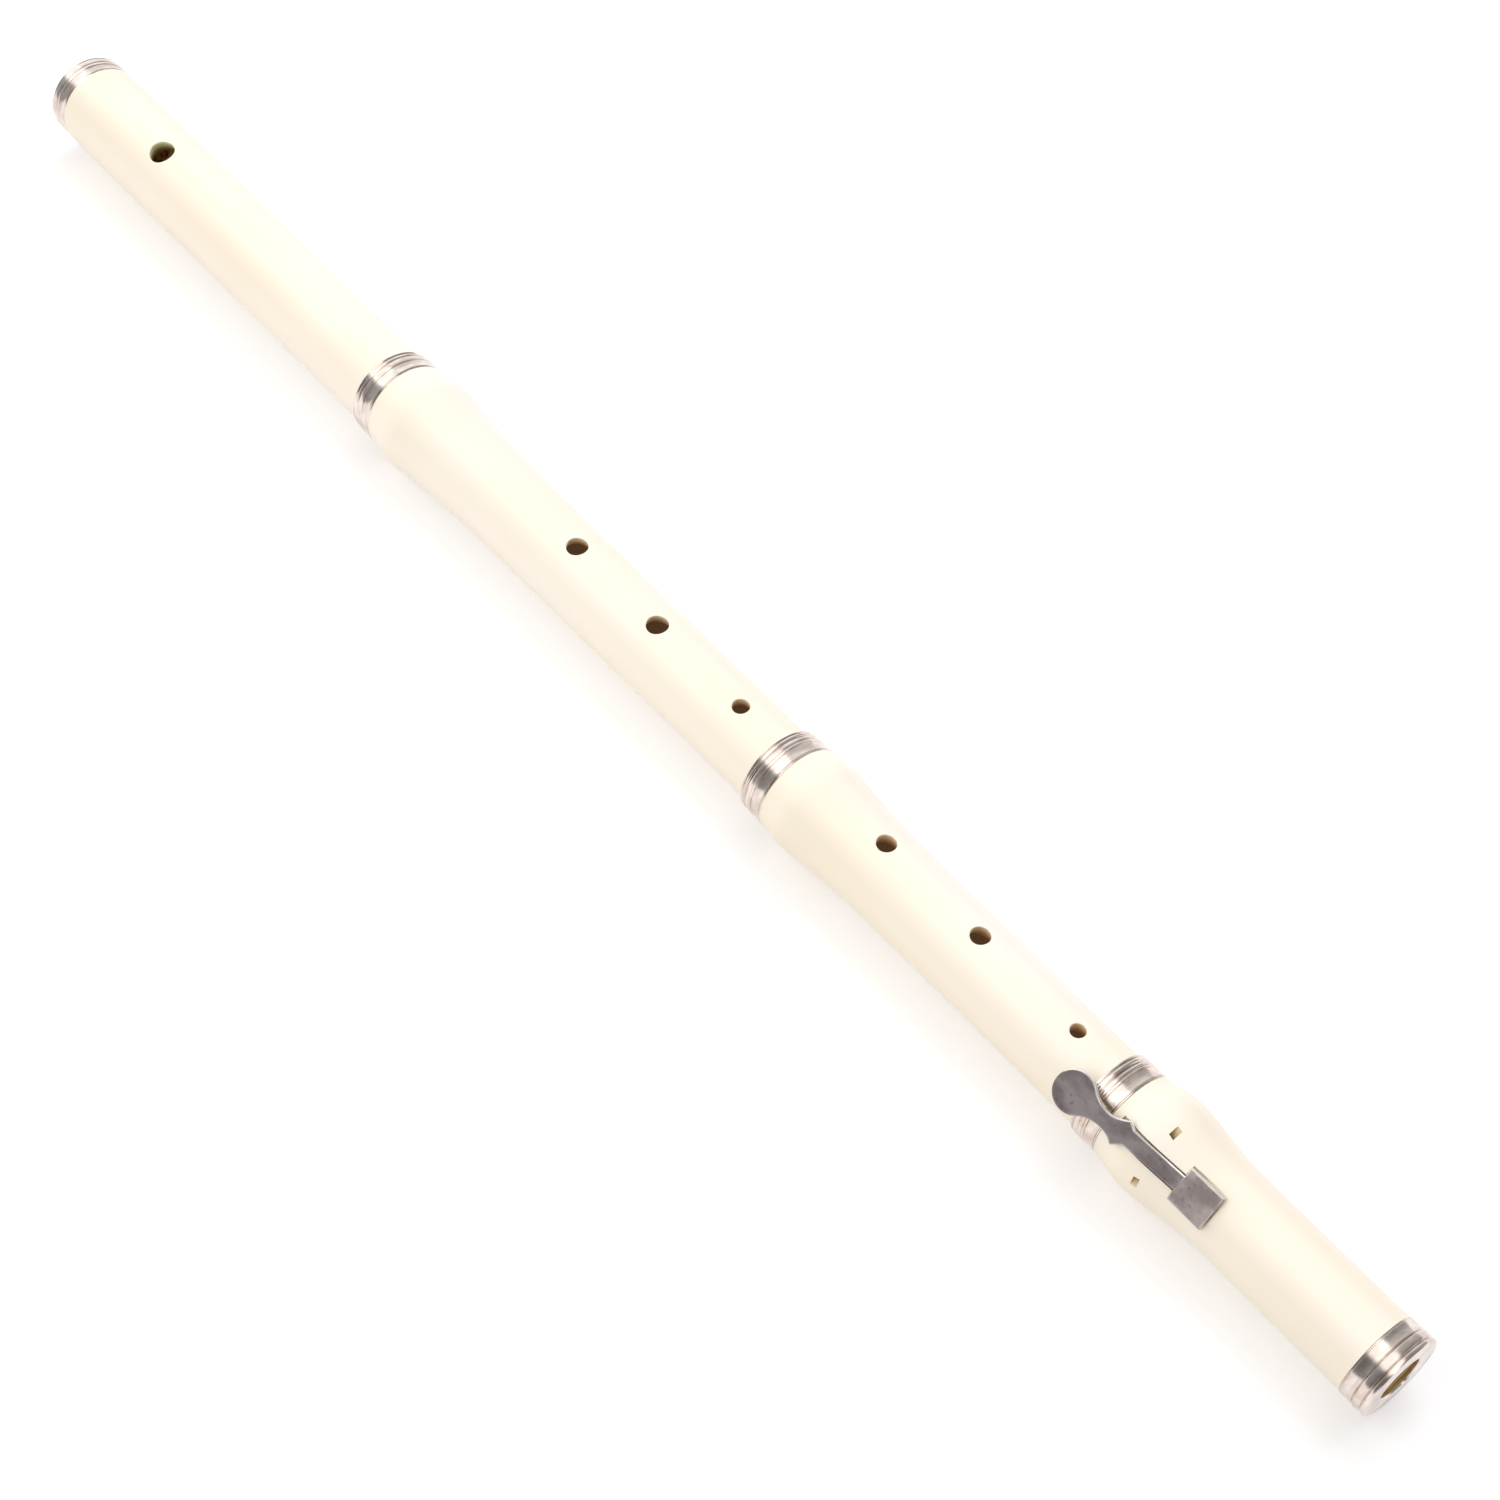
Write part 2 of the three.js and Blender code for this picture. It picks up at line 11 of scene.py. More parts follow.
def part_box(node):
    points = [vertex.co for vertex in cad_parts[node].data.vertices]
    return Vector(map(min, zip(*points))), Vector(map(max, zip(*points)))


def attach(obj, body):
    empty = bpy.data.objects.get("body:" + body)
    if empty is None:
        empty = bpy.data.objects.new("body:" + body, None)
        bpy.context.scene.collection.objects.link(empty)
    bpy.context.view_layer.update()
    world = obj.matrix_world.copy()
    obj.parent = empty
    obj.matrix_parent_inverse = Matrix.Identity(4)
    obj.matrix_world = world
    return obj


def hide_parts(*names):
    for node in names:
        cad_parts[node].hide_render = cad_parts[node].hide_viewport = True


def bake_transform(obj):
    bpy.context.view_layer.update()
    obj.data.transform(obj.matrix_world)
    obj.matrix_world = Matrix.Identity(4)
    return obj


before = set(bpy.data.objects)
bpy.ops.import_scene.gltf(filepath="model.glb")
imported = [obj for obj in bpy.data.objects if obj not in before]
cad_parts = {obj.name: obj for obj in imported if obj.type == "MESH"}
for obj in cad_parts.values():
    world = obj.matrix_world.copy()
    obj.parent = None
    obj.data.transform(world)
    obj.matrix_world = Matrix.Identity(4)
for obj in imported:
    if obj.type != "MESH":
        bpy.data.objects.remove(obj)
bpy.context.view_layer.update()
print("frame loaded:", len(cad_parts), "nodes")

mm = 0.001
endLow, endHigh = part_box("foot_end_ring")
headLow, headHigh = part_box("head_end_ring")
startX = headLow.x                          # station 0 in the row's frame
axisY = (endLow.y + endHigh.y) / 2
axisZ = (endLow.z + endHigh.z) / 2
look = {"columns": 192, "sharpAngle": 32}   # columns round a turned piece; edges steeper than this stay sharp

# Camera: where the photograph was taken from, found from the rings and holes seen in it. Its y is from the axis.
camera = {"x": 0.392872, "y": -0.274897, "z": 0.598683, "yaw": -50.6948, "pitch": 53.5027, "lens": 62.4,
          "sensor": 36, "near": 0.01, "far": 20}


def makeCamera():
    data = bpy.data.cameras.new("studioCamera")
    data.sensor_fit = "HORIZONTAL"
    data.sensor_width, data.lens = camera["sensor"], camera["lens"]
    data.clip_start, data.clip_end = camera["near"], camera["far"]
    eye = bpy.data.objects.new("studioCamera", data)
    yaw, pitch = math.radians(camera["yaw"]), math.radians(camera["pitch"])
    right = Vector((math.cos(yaw), -math.sin(yaw), 0))
    ahead = Vector((math.sin(yaw) * math.cos(pitch), math.cos(yaw) * math.cos(pitch), -math.sin(pitch)))
    turn = Matrix((right, right.cross(ahead), -ahead)).transposed().to_4x4()
    eye.matrix_world = Matrix.Translation((camera["x"], axisY + camera["y"], camera["z"])) @ turn
    bpy.context.collection.objects.link(eye)
    bpy.context.scene.camera = eye


makeCamera()
print("camera placed")


# Nodes: short ways to place them. A value is a number, a colour or another node's output.

def feed(socket, value):
    if isinstance(value, bpy.types.NodeSocket):
        socket.id_data.links.new(value, socket)
    else:
        socket.default_value = value


def addNode(tree, kind, values, **settings):
    node = tree.nodes.new("ShaderNode" + kind)
    for name, value in settings.items():
        setattr(node, name, value)
    for label, value in values.items():
        feed(node.inputs[label], value)
    return node


def calculate(tree, operation, first, second=0):
    return addNode(tree, "Math", {0: first, 1: second}, operation=operation).outputs[0]


def remap(tree, value, low, high, toLow=0, toHigh=1, kind="LINEAR"):
    # Takes low..high to toLow..toHigh, and stays level outside
    return addNode(tree, "MapRange", {"Value": value, "From Min": low, "From Max": high, "To Min": toLow,
                                      "To Max": toHigh}, interpolation_type=kind).outputs[0]


def mixColors(tree, share, first, second, blend="MIX"):
    return addNode(tree, "Mix", {0: share, 6: first, 7: second}, data_type="RGBA", blend_type=blend).outputs[2]


def mixValues(tree, share, first, second):
    return addNode(tree, "Mix", {0: share, 2: first, 3: second}).outputs[0]


def placeParts(tree, label="Object"):
    place = addNode(tree, "TexCoord", {}).outputs[label]
    return addNode(tree, "SeparateXYZ", {0: place}).outputs


def sizedNoise(tree, along, across, detail, roughness):
    # Noise of one size along the flute and another round it
    place = addNode(tree, "TexCoord", {}).outputs["Object"]
    scales = [calculate(tree, "DIVIDE", 1, size) for size in (along, across)]
    sizes = addNode(tree, "CombineXYZ", {0: scales[0], 1: scales[1], 2: scales[1]}).outputs[0]
    scaled = addNode(tree, "VectorMath", {0: place, 1: sizes}, operation="MULTIPLY").outputs[0]
    return addNode(tree, "TexNoise", {"Vector": scaled, "Scale": 1, "Detail": detail,
                                      "Roughness": roughness}).outputs["Fac"]


def newGroup(name, inputs, outputs):
    group = bpy.data.node_groups.new(name, "ShaderNodeTree")
    for label, value in inputs.items():
        kind = "NodeSocketColor" if isinstance(value, tuple) else "NodeSocketFloat"
        group.interface.new_socket(name=label, in_out="INPUT", socket_type=kind).default_value = value
    for label, kind in outputs.items():
        group.interface.new_socket(name=label, in_out="OUTPUT", socket_type=kind)
    return group, group.nodes.new("NodeGroupInput").outputs, group.nodes.new("NodeGroupOutput").inputs


def makeLathing():
    # Fine lines round a turned piece: noise squeezed along X and stretched round the flute
    group, given, result = newGroup("lathing", {"Line": 0.0004, "Length": 0.02, "Low": 0.3, "High": 0.4},
                                    {"Height": "NodeSocketFloat", "Roughness": "NodeSocketFloat"})
    noise = sizedNoise(group, given["Line"], given["Length"], 3, 0.6)
    feed(result["Height"], noise)
    feed(result["Roughness"], remap(group, noise, 0.3, 0.7, given["Low"], given["High"]))
    return group


def makeClouding():
    # Soft patches of two colours: noise drawn out along X, spread between Low and High of its range
    group, given, result = newGroup("clouding", {
        "Size": 0.02, "Stretch": 1, "Light": (1, 1, 1, 1), "Dark": (0.5, 0.5, 0.5, 1), "Low": 0.35, "High": 0.65},
        {"Color": "NodeSocketColor"})
    length = calculate(group, "MULTIPLY", given["Size"], given["Stretch"])
    noise = sizedNoise(group, length, given["Size"], 4, 0.5)
    mask = remap(group, noise, given["Low"], given["High"], kind="SMOOTHSTEP")
    feed(result["Color"], mixColors(group, mask, given["Light"], given["Dark"]))
    return group


lathing = makeLathing()
clouding = makeClouding()


def clouded(tree, size, stretch, light, dark, **spread):
    values = {"Size": size, "Stretch": stretch, "Light": light, "Dark": dark, **spread}
    return addNode(tree, "Group", values, node_tree=clouding).outputs["Color"]


def lathed(tree, line, length, low, high):
    return addNode(tree, "Group", {"Line": line, "Length": length, "Low": low, "High": high},
                   node_tree=lathing).outputs


# Materials

def rgb(r, g, b):
    # Screen values out of 255, taken to linear: ((v + 0.055) / 1.055) to the power 2.4
    return tuple(((v / 255 + 0.055) / 1.055) ** 2.4 for v in (r, g, b)) + (1,)


def newMaterial(name):
    material = bpy.data.materials.new(name)
    material.use_nodes = True
    return material, material.node_tree


def setShader(tree, values):
    shader = tree.nodes["Principled BSDF"]
    for label, value in values.items():
        feed(shader.inputs[label], value)
    return shader


def addGrain(tree, grain):
    # Roughness from low to high over the grain's lines, and their bump
    line, length, low, high, depth, strength = grain
    lines = lathed(tree, line, length, low, high)
    bump = addNode(tree, "Bump", {"Distance": depth, "Strength": strength, "Height": lines["Height"]})
    setShader(tree, {"Roughness": lines["Roughness"], "Normal": bump.outputs[0]})


# Plain finishes. clouds: size and stretch. grain: line, length, low and high roughness, bump depth and strength.
finishes = {
    # Faint cream clouding, drawn out along the flute, and fine turning lines
    "ivoryPlastic": {"light": rgb(250, 240, 224), "dark": rgb(248, 236, 213), "clouds": (0.03, 4),
                     "grain": (0.0007, 0.03, 0.3, 0.42, 0.00001, 0.25), "coat": 0.12, "coatRough": 0.25},
    # Turned and polished, with fine lines round the ring and a faint warm tarnish
    "ringMetal": {"light": rgb(232, 222, 214), "dark": rgb(208, 194, 184), "clouds": (0.006, 0.4),
                  "grain": (0.00012, 0.02, 0.12, 0.24, 0.00002, 0.35), "metallic": 1},
    # Painted highlight: near-white metal for the lever's edges on one side only
    "keyEdgeHighlight": {"light": rgb(252, 249, 246), "dark": rgb(240, 236, 232), "clouds": (0.003, 1.5),
                "grain": (0.0004, 0.0016, 0.3, 0.42, 0.00001, 0.5), "metallic": 1},
    "springBrass": {"light": rgb(222, 208, 174), "dark": rgb(194, 176, 136), "clouds": (0.003, 2),
                    "grain": (0.0003, 0.0012, 0.22, 0.34, 0.00001, 0.5), "metallic": 1},
    "corkGrain": {"light": rgb(206, 166, 118), "dark": rgb(122, 82, 48), "clouds": (0.0016, 1),
                  "grain": (0.0006, 0.0024, 0.8, 0.92, 0.0002, 0.5)},
    # Clouds squeezed along the flute, so that they run with the turns
    "waxedThread": {"light": rgb(238, 227, 203), "dark": rgb(208, 188, 150), "clouds": (0.006, 0.12),
                    "grain": (0.0002, 0.0008, 0.6, 0.72, 0.00005, 0.5)},
    "kidLeather": {"light": rgb(226, 206, 168), "dark": rgb(190, 164, 122), "clouds": (0.0012, 1),
                   "grain": (0.0004, 0.0016, 0.7, 0.82, 0.00008, 0.5)}}


def makeFinish(name):
    finish = finishes[name]
    material, tree = newMaterial(name)
    addGrain(tree, finish["grain"])
    setShader(tree, {"Base Color": clouded(tree, *finish["clouds"], finish["light"], finish["dark"]),
                     "Metallic": finish.get("metallic", 0), "Coat Weight": finish.get("coat", 0),
                     "Coat Roughness": finish.get("coatRough", 0)})
    return material


# Walls of the bore and the holes. They glow faintly: a painted glow that stands in for the light that comes through
# the ivory round them.
wallGrain = (0.0005, 0.02, 0.35, 0.5)
# The bore: base and dark are a painted shade, mouth is painted light near the foot's open end
boreLook = {"base": rgb(86, 58, 34), "dark": rgb(70, 46, 26), "glow": rgb(70, 51, 33),
            "mouth": rgb(214, 196, 132), "mouthReach": 0.02, "clouds": (0.004, 2)}
# A hole's colour goes by distance from the flute's axis, from deep to edge: painted shade, darker the deeper into
# the hole
holeLooks = {
    "mouthWall": {"edge": 14.2, "deep": 10.5, "pale": rgb(255, 255, 204), "dark": rgb(120, 106, 54),
                  "glow": rgb(38, 30, 14)},
    "pinWall": {"edge": 14, "deep": 11.5, "pale": rgb(222, 200, 156), "dark": rgb(96, 68, 40),
                "glow": rgb(30, 20, 10)},
    "fingerWall": {"edge": 12.6, "deep": 9.2, "pale": rgb(250, 232, 194), "dark": rgb(200, 166, 118),
                   "glow": rgb(54, 40, 25)}}


def finishWall(material, tree, color, glow):
    # The emission is the painted glow
    setShader(tree, {"Base Color": color, "Roughness": lathed(tree, *wallGrain)["Roughness"],
                     "Emission Color": glow, "Emission Strength": 1})
    return material


def makeBoreWall():
    # Dark brown, a painted shade inside the bore, and paler towards the foot's open end, painted light where light
    # comes in
    material, tree = newMaterial("boreWall")
    share = remap(tree, placeParts(tree)[0], -startX - boreLook["mouthReach"], -startX)
    cloud = clouded(tree, *boreLook["clouds"], boreLook["base"], boreLook["dark"])
    return finishWall(material, tree, mixColors(tree, share, cloud, boreLook["mouth"]), boreLook["glow"])


def makeHoleWall(name):
    hole = holeLooks[name]
    material, tree = newMaterial(name)
    parts = placeParts(tree)
    flat = addNode(tree, "CombineXYZ", {1: parts[1], 2: parts[2]}).outputs[0]
    away = addNode(tree, "VectorMath", {0: flat, 1: (0, axisY, axisZ)}, operation="DISTANCE").outputs["Value"]
    # Painted shade: dark deep in the hole, pale at its edge
    share = remap(tree, away, hole["deep"] * mm, hole["edge"] * mm)
    return finishWall(material, tree, mixColors(tree, share, hole["dark"], hole["pale"]), hole["glow"])


# flap and arm: the flap's paler grey is a painted reflection
keyLook = {"flap": rgb(214, 203, 198), "arm": rgb(184, 175, 174), "metallic": 0.75, "edgeTurn": 0.3,
           "grain": (0.004, 0.00035, 0.3, 0.42, 0.00002, 0.3), "fadeFrom": -1.5, "fadeTo": 1,
           "patches": (0.005, 1.5, (1, 1, 1, 1), rgb(208, 202, 203)),
           "spots": (0.0009, 1.3, (1, 1, 1, 1), rgb(205, 200, 200)), "spotsLow": 0.58, "spotsHigh": 0.75}


def makeKeyMetal():
    # Dull grey metal, paler on the flap: a painted reflection, the flap catching more light than the arm. Soft
    # patches, fine rubbed marks and small spots
    material, tree = newMaterial("keyMetal")
    addGrain(tree, keyLook["grain"])
    flapStart = startX + (foot["start"] + key["pin"] + key["flapStart"]) * mm
    share = remap(tree, placeParts(tree)[0], flapStart + keyLook["fadeFrom"] * mm,
                  flapStart + keyLook["fadeTo"] * mm)
    # Painted reflection: the flap paler than the arm
    base = mixColors(tree, share, keyLook["arm"], keyLook["flap"])
    patches = mixColors(tree, 1, base, clouded(tree, *keyLook["patches"]), "MULTIPLY")
    spots = clouded(tree, *keyLook["spots"], Low=keyLook["spotsLow"], High=keyLook["spotsHigh"])
    setShader(tree, {"Base Color": mixColors(tree, 1, patches, spots, "MULTIPLY"),
                     "Metallic": keyLook["metallic"]})
    return material


ivory, ringMetal, keyEdgeHighlight, brass, corkGrain, waxedThread, kidLeather = [makeFinish(name) for name in finishes]
boreWall = makeBoreWall()
mouthWall, pinWall, fingerWall = [makeHoleWall(name) for name in holeLooks]
print("materials made")


# Meshes. A mesh is its points, and a list of (corner index array of faces by corners, material number).

def addPiece(name, mesh, materials, body=None, sharpAngle=look["sharpAngle"]):
    points, faceSets = mesh
    counts = np.concatenate([np.full(len(faces), faces.shape[1]) for faces, _ in faceSets])
    corners = np.concatenate([faces.reshape(-1) for faces, _ in faceSets]).astype(np.int32)
    shades = np.concatenate([np.full(len(faces), shade) for faces, shade in faceSets]).astype(np.int32)
    starts = np.concatenate([[0], np.cumsum(counts)[:-1]]).astype(np.int32)
    mesh = bpy.data.meshes.new(name)
    mesh.vertices.add(len(points))
    mesh.vertices.foreach_set("co", np.ascontiguousarray(points, dtype=np.float32).reshape(-1))
    mesh.loops.add(len(corners))
    mesh.loops.foreach_set("vertex_index", corners)
    mesh.polygons.add(len(counts))
    mesh.polygons.foreach_set("loop_start", starts)
    mesh.polygons.foreach_set("material_index", shades)
    mesh.update(calc_edges=True)
    for material in materials:
        mesh.materials.append(material)
    shadeSmooth(mesh, sharpAngle)
    piece = bpy.data.objects.new(name, mesh)
    bpy.context.collection.objects.link(piece)
    if body:
        finishPiece(piece, name, body)
    return piece


def shadeSmooth(mesh, sharpAngle=look["sharpAngle"]):
    mesh.shade_smooth()
    mesh.set_sharp_from_angle(angle=math.radians(sharpAngle))


def finishPiece(piece, name, body):
    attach(piece, body)
    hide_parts(name)


def onFlute(stations, radii, azimuths):
    # A point at a station (mm), a radius (mm) and an azimuth (radians)
    stations, radii, azimuths = np.broadcast_arrays(stations, radii, azimuths)
    return np.stack([startX + stations * mm, axisY + radii * mm * np.sin(azimuths),
                     axisZ + radii * mm * np.cos(azimuths)], -1)


def columnsOf(count, shift=0.0):
    return np.arange(count) * 2 * np.pi / count + shift


def gridFaces(rows, columns, closed):
    # Quads between neighbouring rows of a grid whose columns go all the way round
    i = np.arange(rows if closed else rows - 1)[:, None]
    j = np.arange(columns)[None, :]
    below = (i + 1) % rows
    beside = (j + 1) % columns
    return np.stack(np.broadcast_arrays(i * columns + j, below * columns + j,
                                        below * columns + beside, i * columns + beside), -1)


def loft(rings, over=False, shade=0):
    # The faces between rings of points and a lid on each end ring, all turned over if asked
    rings = np.asarray(rings)
    rows, count = rings.shape[:2]
    sets = [gridFaces(rows, count, False).reshape(-1, 4), np.arange(count)[None, :],
            (rows - 1) * count + np.arange(count)[None, ::-1]]
    return rings.reshape(-1, 3), [(faces[:, ::-1] if over else faces, shade) for faces in sets]


def turnedMesh(outline, columns=look["columns"], shades=None):
    # A closed outline of (station, radius) swept round the axis, with a material number for each row
    outline = np.asarray(outline, float)
    points = onFlute(outline[:, :1], outline[:, 1:], columnsOf(columns)[None, :]).reshape(-1, 3)
    faces = gridFaces(len(outline), columns, True)
    shades = np.zeros(len(outline), int) if shades is None else shades
    return points, [(faces[shades == shade].reshape(-1, 4), shade) for shade in sorted(set(shades.tolist()))]


def plugMesh(outline, columns=look["columns"]):
    # An outline that starts and ends near the axis, where fans to single points close it
    outline = np.asarray(outline, float)
    points = onFlute(outline[:, :1], outline[:, 1:], columnsOf(columns)[None, :]).reshape(-1, 3)
    points = np.concatenate([points, onFlute(outline[[0, -1], 0], 0.0, 0.0)])
    j = np.arange(columns)
    beside = (j + 1) % columns
    last = (len(outline) - 1) * columns
    firstFan = np.stack([np.full(columns, len(points) - 2), j, beside], -1)
    lastFan = np.stack([np.full(columns, len(points) - 1), last + beside, last + j], -1)
    return points, [(gridFaces(len(outline), columns, False).reshape(-1, 4), 0), (firstFan, 0), (lastFan, 0)]


def rounded(outline, steps=3):
    # Corners are (station, radius, rounding). Each marked one becomes a curve from a point before it to
    # one after it, quadratic in between, at no more than 0.45 of each side.
    out = []
    for i, (station, radius, size) in enumerate(outline):
        here = np.array([station, radius], float)
        before, after = [np.array(outline[k % len(outline)][:2], float) for k in (i - 1, i + 1)]
        toBefore, toAfter = before - here, after - here
        lengths = np.linalg.norm(toBefore), np.linalg.norm(toAfter)
        if size <= 0 or min(lengths) < 1e-6:
            out.append(here)
            continue
        a = here + toBefore / lengths[0] * min(size, 0.45 * lengths[0])
        b = here + toAfter / lengths[1] * min(size, 0.45 * lengths[1])
        t = np.linspace(0, 1, steps + 1)[:, None]
        out.extend((1 - t) ** 2 * a + 2 * t * (1 - t) * here + t ** 2 * b)
    return np.array(out)


holeGrid = {"cells": 18, "halfAngle": 41.25, "sideMargin": 2.3, "rings": 6, "wallRings": 6, "boreRings": 3,
            "rim": 0.22, "rimTurns": (25, 50, 75, 90)}


def splitRows(outline, holes):
    # Rows with an even run of stations across each hole, and the row at which each run starts
    outline, margin = np.asarray(outline, float), holeGrid["sideMargin"]
    starts = []
    order = 1 if outline[-1, 0] > outline[0, 0] else -1
    for hole in holes[::order]:
        low, high = hole["station"] - hole["along"] - margin, hole["station"] + hole["along"] + margin
        run = np.linspace(low, high, holeGrid["cells"] + 1)[::order]
        radii = np.interp(run, outline[::order, 0], outline[::order, 1])
        before = outline[outline[:, 0] * order < run[0] * order - 1e-6]
        after = outline[outline[:, 0] * order > run[-1] * order + 1e-6]
        starts.append(len(before))
        outline = np.concatenate([before, np.stack([run, radii], -1), after])
    return outline, starts[::order]


def holeRings(hole, stations, azimuths, outside, bore):
    # Rings of (station, across, height) from the grid's opening to the hole's rounded rim, down its wall,
    # which widens by undercut * share squared, and out to the same opening in the bore
    rim, widen, centre = holeGrid["rim"], hole["undercut"], hole["station"]
    size = np.array([hole["along"], hole["across"]])
    outRadius, boreRadius = [np.interp(centre, rows[:, 0], rows[:, 1]) for rows in (outside, bore)]
    theta = np.arctan2(outRadius * np.sin(azimuths) / size[1], stations / size[0])
    circle = np.stack([np.cos(theta), np.sin(theta)], -1)

    def ringOn(rows, radius, grow, blend):
        # blend goes from the opening's edge, at 0, to the hole's outline grown by grow, at 1
        edgePoint = np.stack([stations, radius * np.sin(azimuths)], -1)
        flat = (1 - blend) * edgePoint + blend * (circle * (size + grow))
        place = centre + flat[:, 0]
        return place, flat[:, 1], np.sqrt(np.interp(place, rows[:, 0], rows[:, 1]) ** 2 - flat[:, 1] ** 2)

    rings = [ringOn(outside, outRadius, rim, k / holeGrid["rings"]) for k in range(1, holeGrid["rings"] + 1)]
    for turn in map(math.radians, holeGrid["rimTurns"]):
        place, across, height = ringOn(outside, outRadius, rim * (1 - math.sin(turn)), 1)
        rings.append((place, across, height - rim * (1 - math.cos(turn))))
    top = rings[-1][2]
    for k in range(1, holeGrid["wallRings"] + 1):
        share = k / holeGrid["wallRings"]
        place, across, low = ringOn(bore, outRadius, widen * share ** 2, 1)
        rings.append((place, across, top * (1 - share) + low * share))
    count = holeGrid["boreRings"]
    return rings + [ringOn(bore, boreRadius, widen, 1 - k / (count + 1)) for k in range(1, count + 1)]


def drilledTube(name, parts, holes, turn, wall, body):
    # A turned tube with rounded holes. parts are the outline's pieces in order: rows before the drilled
    # outside, the outside, rows between, the drilled bore (running back), rows after. Round each hole
    # the grid is opened, and the hole's rings join the two openings.
    ahead, outside, between, bore, behind = [np.asarray(part, float).reshape(-1, 2) for part in parts]
    outside, outStarts = splitRows(outside, holes)
    bore, boreStarts = splitRows(bore, holes)
    outline = np.concatenate([ahead, outside, between, bore, behind])
    outBase, boreBase = len(ahead), len(ahead) + len(outside) + len(between)
    inBore = np.zeros(len(outline), bool)
    inBore[boreBase - 1:boreBase + len(bore)] = True
    columns, cells = look["columns"], holeGrid["cells"]
    half = int(round(holeGrid["halfAngle"] / 360 * columns))
    points = [onFlute(outline[:, :1], outline[:, 1:], columnsOf(columns, turn)[None, :]).reshape(-1, 3)]
    total = len(points[0])
    faces = gridFaces(len(outline), columns, True)
    keep = np.ones(faces.shape[:2], bool)
    # (row step, column step) once round the opening's edge
    run, up, down = np.arange(cells), np.arange(-half, half), np.arange(half, -half, -1)
    edge = np.concatenate([np.stack(pair, -1) for pair in (
        (np.zeros(2 * half, int), up), (run, np.full(cells, half)),
        (np.full(2 * half, cells), down), (cells - run, np.full(cells, -half)))])
    bores, walls, rims = [], [], []
    for hole, outStart, boreStart in zip(holes, outStarts, boreStarts):
        first, last = outBase + outStart, boreBase + boreStart + cells     # the bore's rows run the other way
        for row in (first, last - cells):
            keep[row:row + cells, up % columns] = False
        loops = [(first + edge[:, 0]) * columns + edge[:, 1] % columns]
        stations = outline[first + edge[:, 0], 0] - hole["station"]
        azimuths = edge[:, 1] * (2 * np.pi / columns)
        for place, across, height in holeRings(hole, stations, azimuths, outside, bore[::-1]):
            points.append(onFlute(place, np.hypot(across, height), np.arctan2(across, height) + turn))
            loops.append(total + np.arange(len(edge)))
            total += len(edge)
        loops = np.array(loops + [(last - edge[:, 0]) * columns + edge[:, 1] % columns])
        after = np.roll(loops, -1, axis=1)
        quads = np.stack([loops[:-1], loops[1:], after[1:], after[:-1]], -1)
        wallStart = holeGrid["rings"] + len(holeGrid["rimTurns"])
        wallEnd = wallStart + holeGrid["wallRings"]
        for group, rows in ((rims, quads[:wallStart]), (walls, quads[wallStart:wallEnd]), (bores, quads[wallEnd:])):
            group.append(rows.reshape(-1, 4))
    sets = [(faces[~inBore][keep[~inBore]], 0), (faces[inBore][keep[inBore]], 1)]
    sets += [(quads, shade) for shade, group in enumerate((rims, bores, walls)) for quads in group]
    addPiece(name, (np.concatenate(points), sets), [ivory, boreWall, wall], body)


# Turned outlines shared by the joints

fit = {"gap": 0.15, "ringWall": 1.15}
thread = {"pitch": 0.8, "depth": 0.18, "rowsPerTurn": 5, "columns": 96, "sharpAngle": 60}
bulb = {"soft": 0.8, "step": 0.25, "slimFrom": 40, "slimEvery": 6, "boreRows": 60}


def tenonCorners(shoulder, tenon):
    # Below the shoulder: the tenon, its sunk bed for the thread, and its end
    end = shoulder + tenon["length"]
    bedEnd = end - tenon["endWall"]
    bedStart = bedEnd - tenon["lapLength"]
    bed = tenon["radius"] - tenon["lapDepth"]
    return [(shoulder, tenon["radius"], 0), (bedStart, tenon["radius"], 0.1), (bedStart, bed, 0),
            (bedEnd, bed, 0), (bedEnd, tenon["radius"], 0.1), (end, tenon["radius"], 0.4)]


def makeThread(name, start, shoulder, tenon, body):
    # Wound thread: the radius dips by the wind's depth between turns, and each turn climbs one pitch,
    # so radius = outer - depth * (1 - |sin(pi * (station / pitch - azimuth / 2 pi))|)
    high = shoulder + tenon["length"] - tenon["endWall"] - fit["gap"]
    low = high - tenon["lapLength"] + 2 * fit["gap"]
    pitch, depth, columns = thread["pitch"], thread["depth"], thread["columns"]
    rows = np.arange(low, high, pitch / thread["rowsPerTurn"])
    angles = columnsOf(columns)[None, :]
    wave = np.abs(np.sin(np.pi * (rows[:, None] / pitch - angles / (2 * np.pi))))
    inner = np.full((1, columns), tenon["radius"] - tenon["lapDepth"] + fit["gap"])
    stations = np.concatenate([[low], rows, [high, high]])[:, None] + start
    radii = np.concatenate([inner, tenon["lapRadius"] - depth * (1 - wave),
                            np.full((1, columns), tenon["lapRadius"] - depth), inner])
    points = onFlute(stations, radii, angles).reshape(-1, 3)
    faces = gridFaces(len(stations), columns, True).reshape(-1, 4)
    addPiece(name, (points, [(faces, 0)]), [waxedThread], body, thread["sharpAngle"])


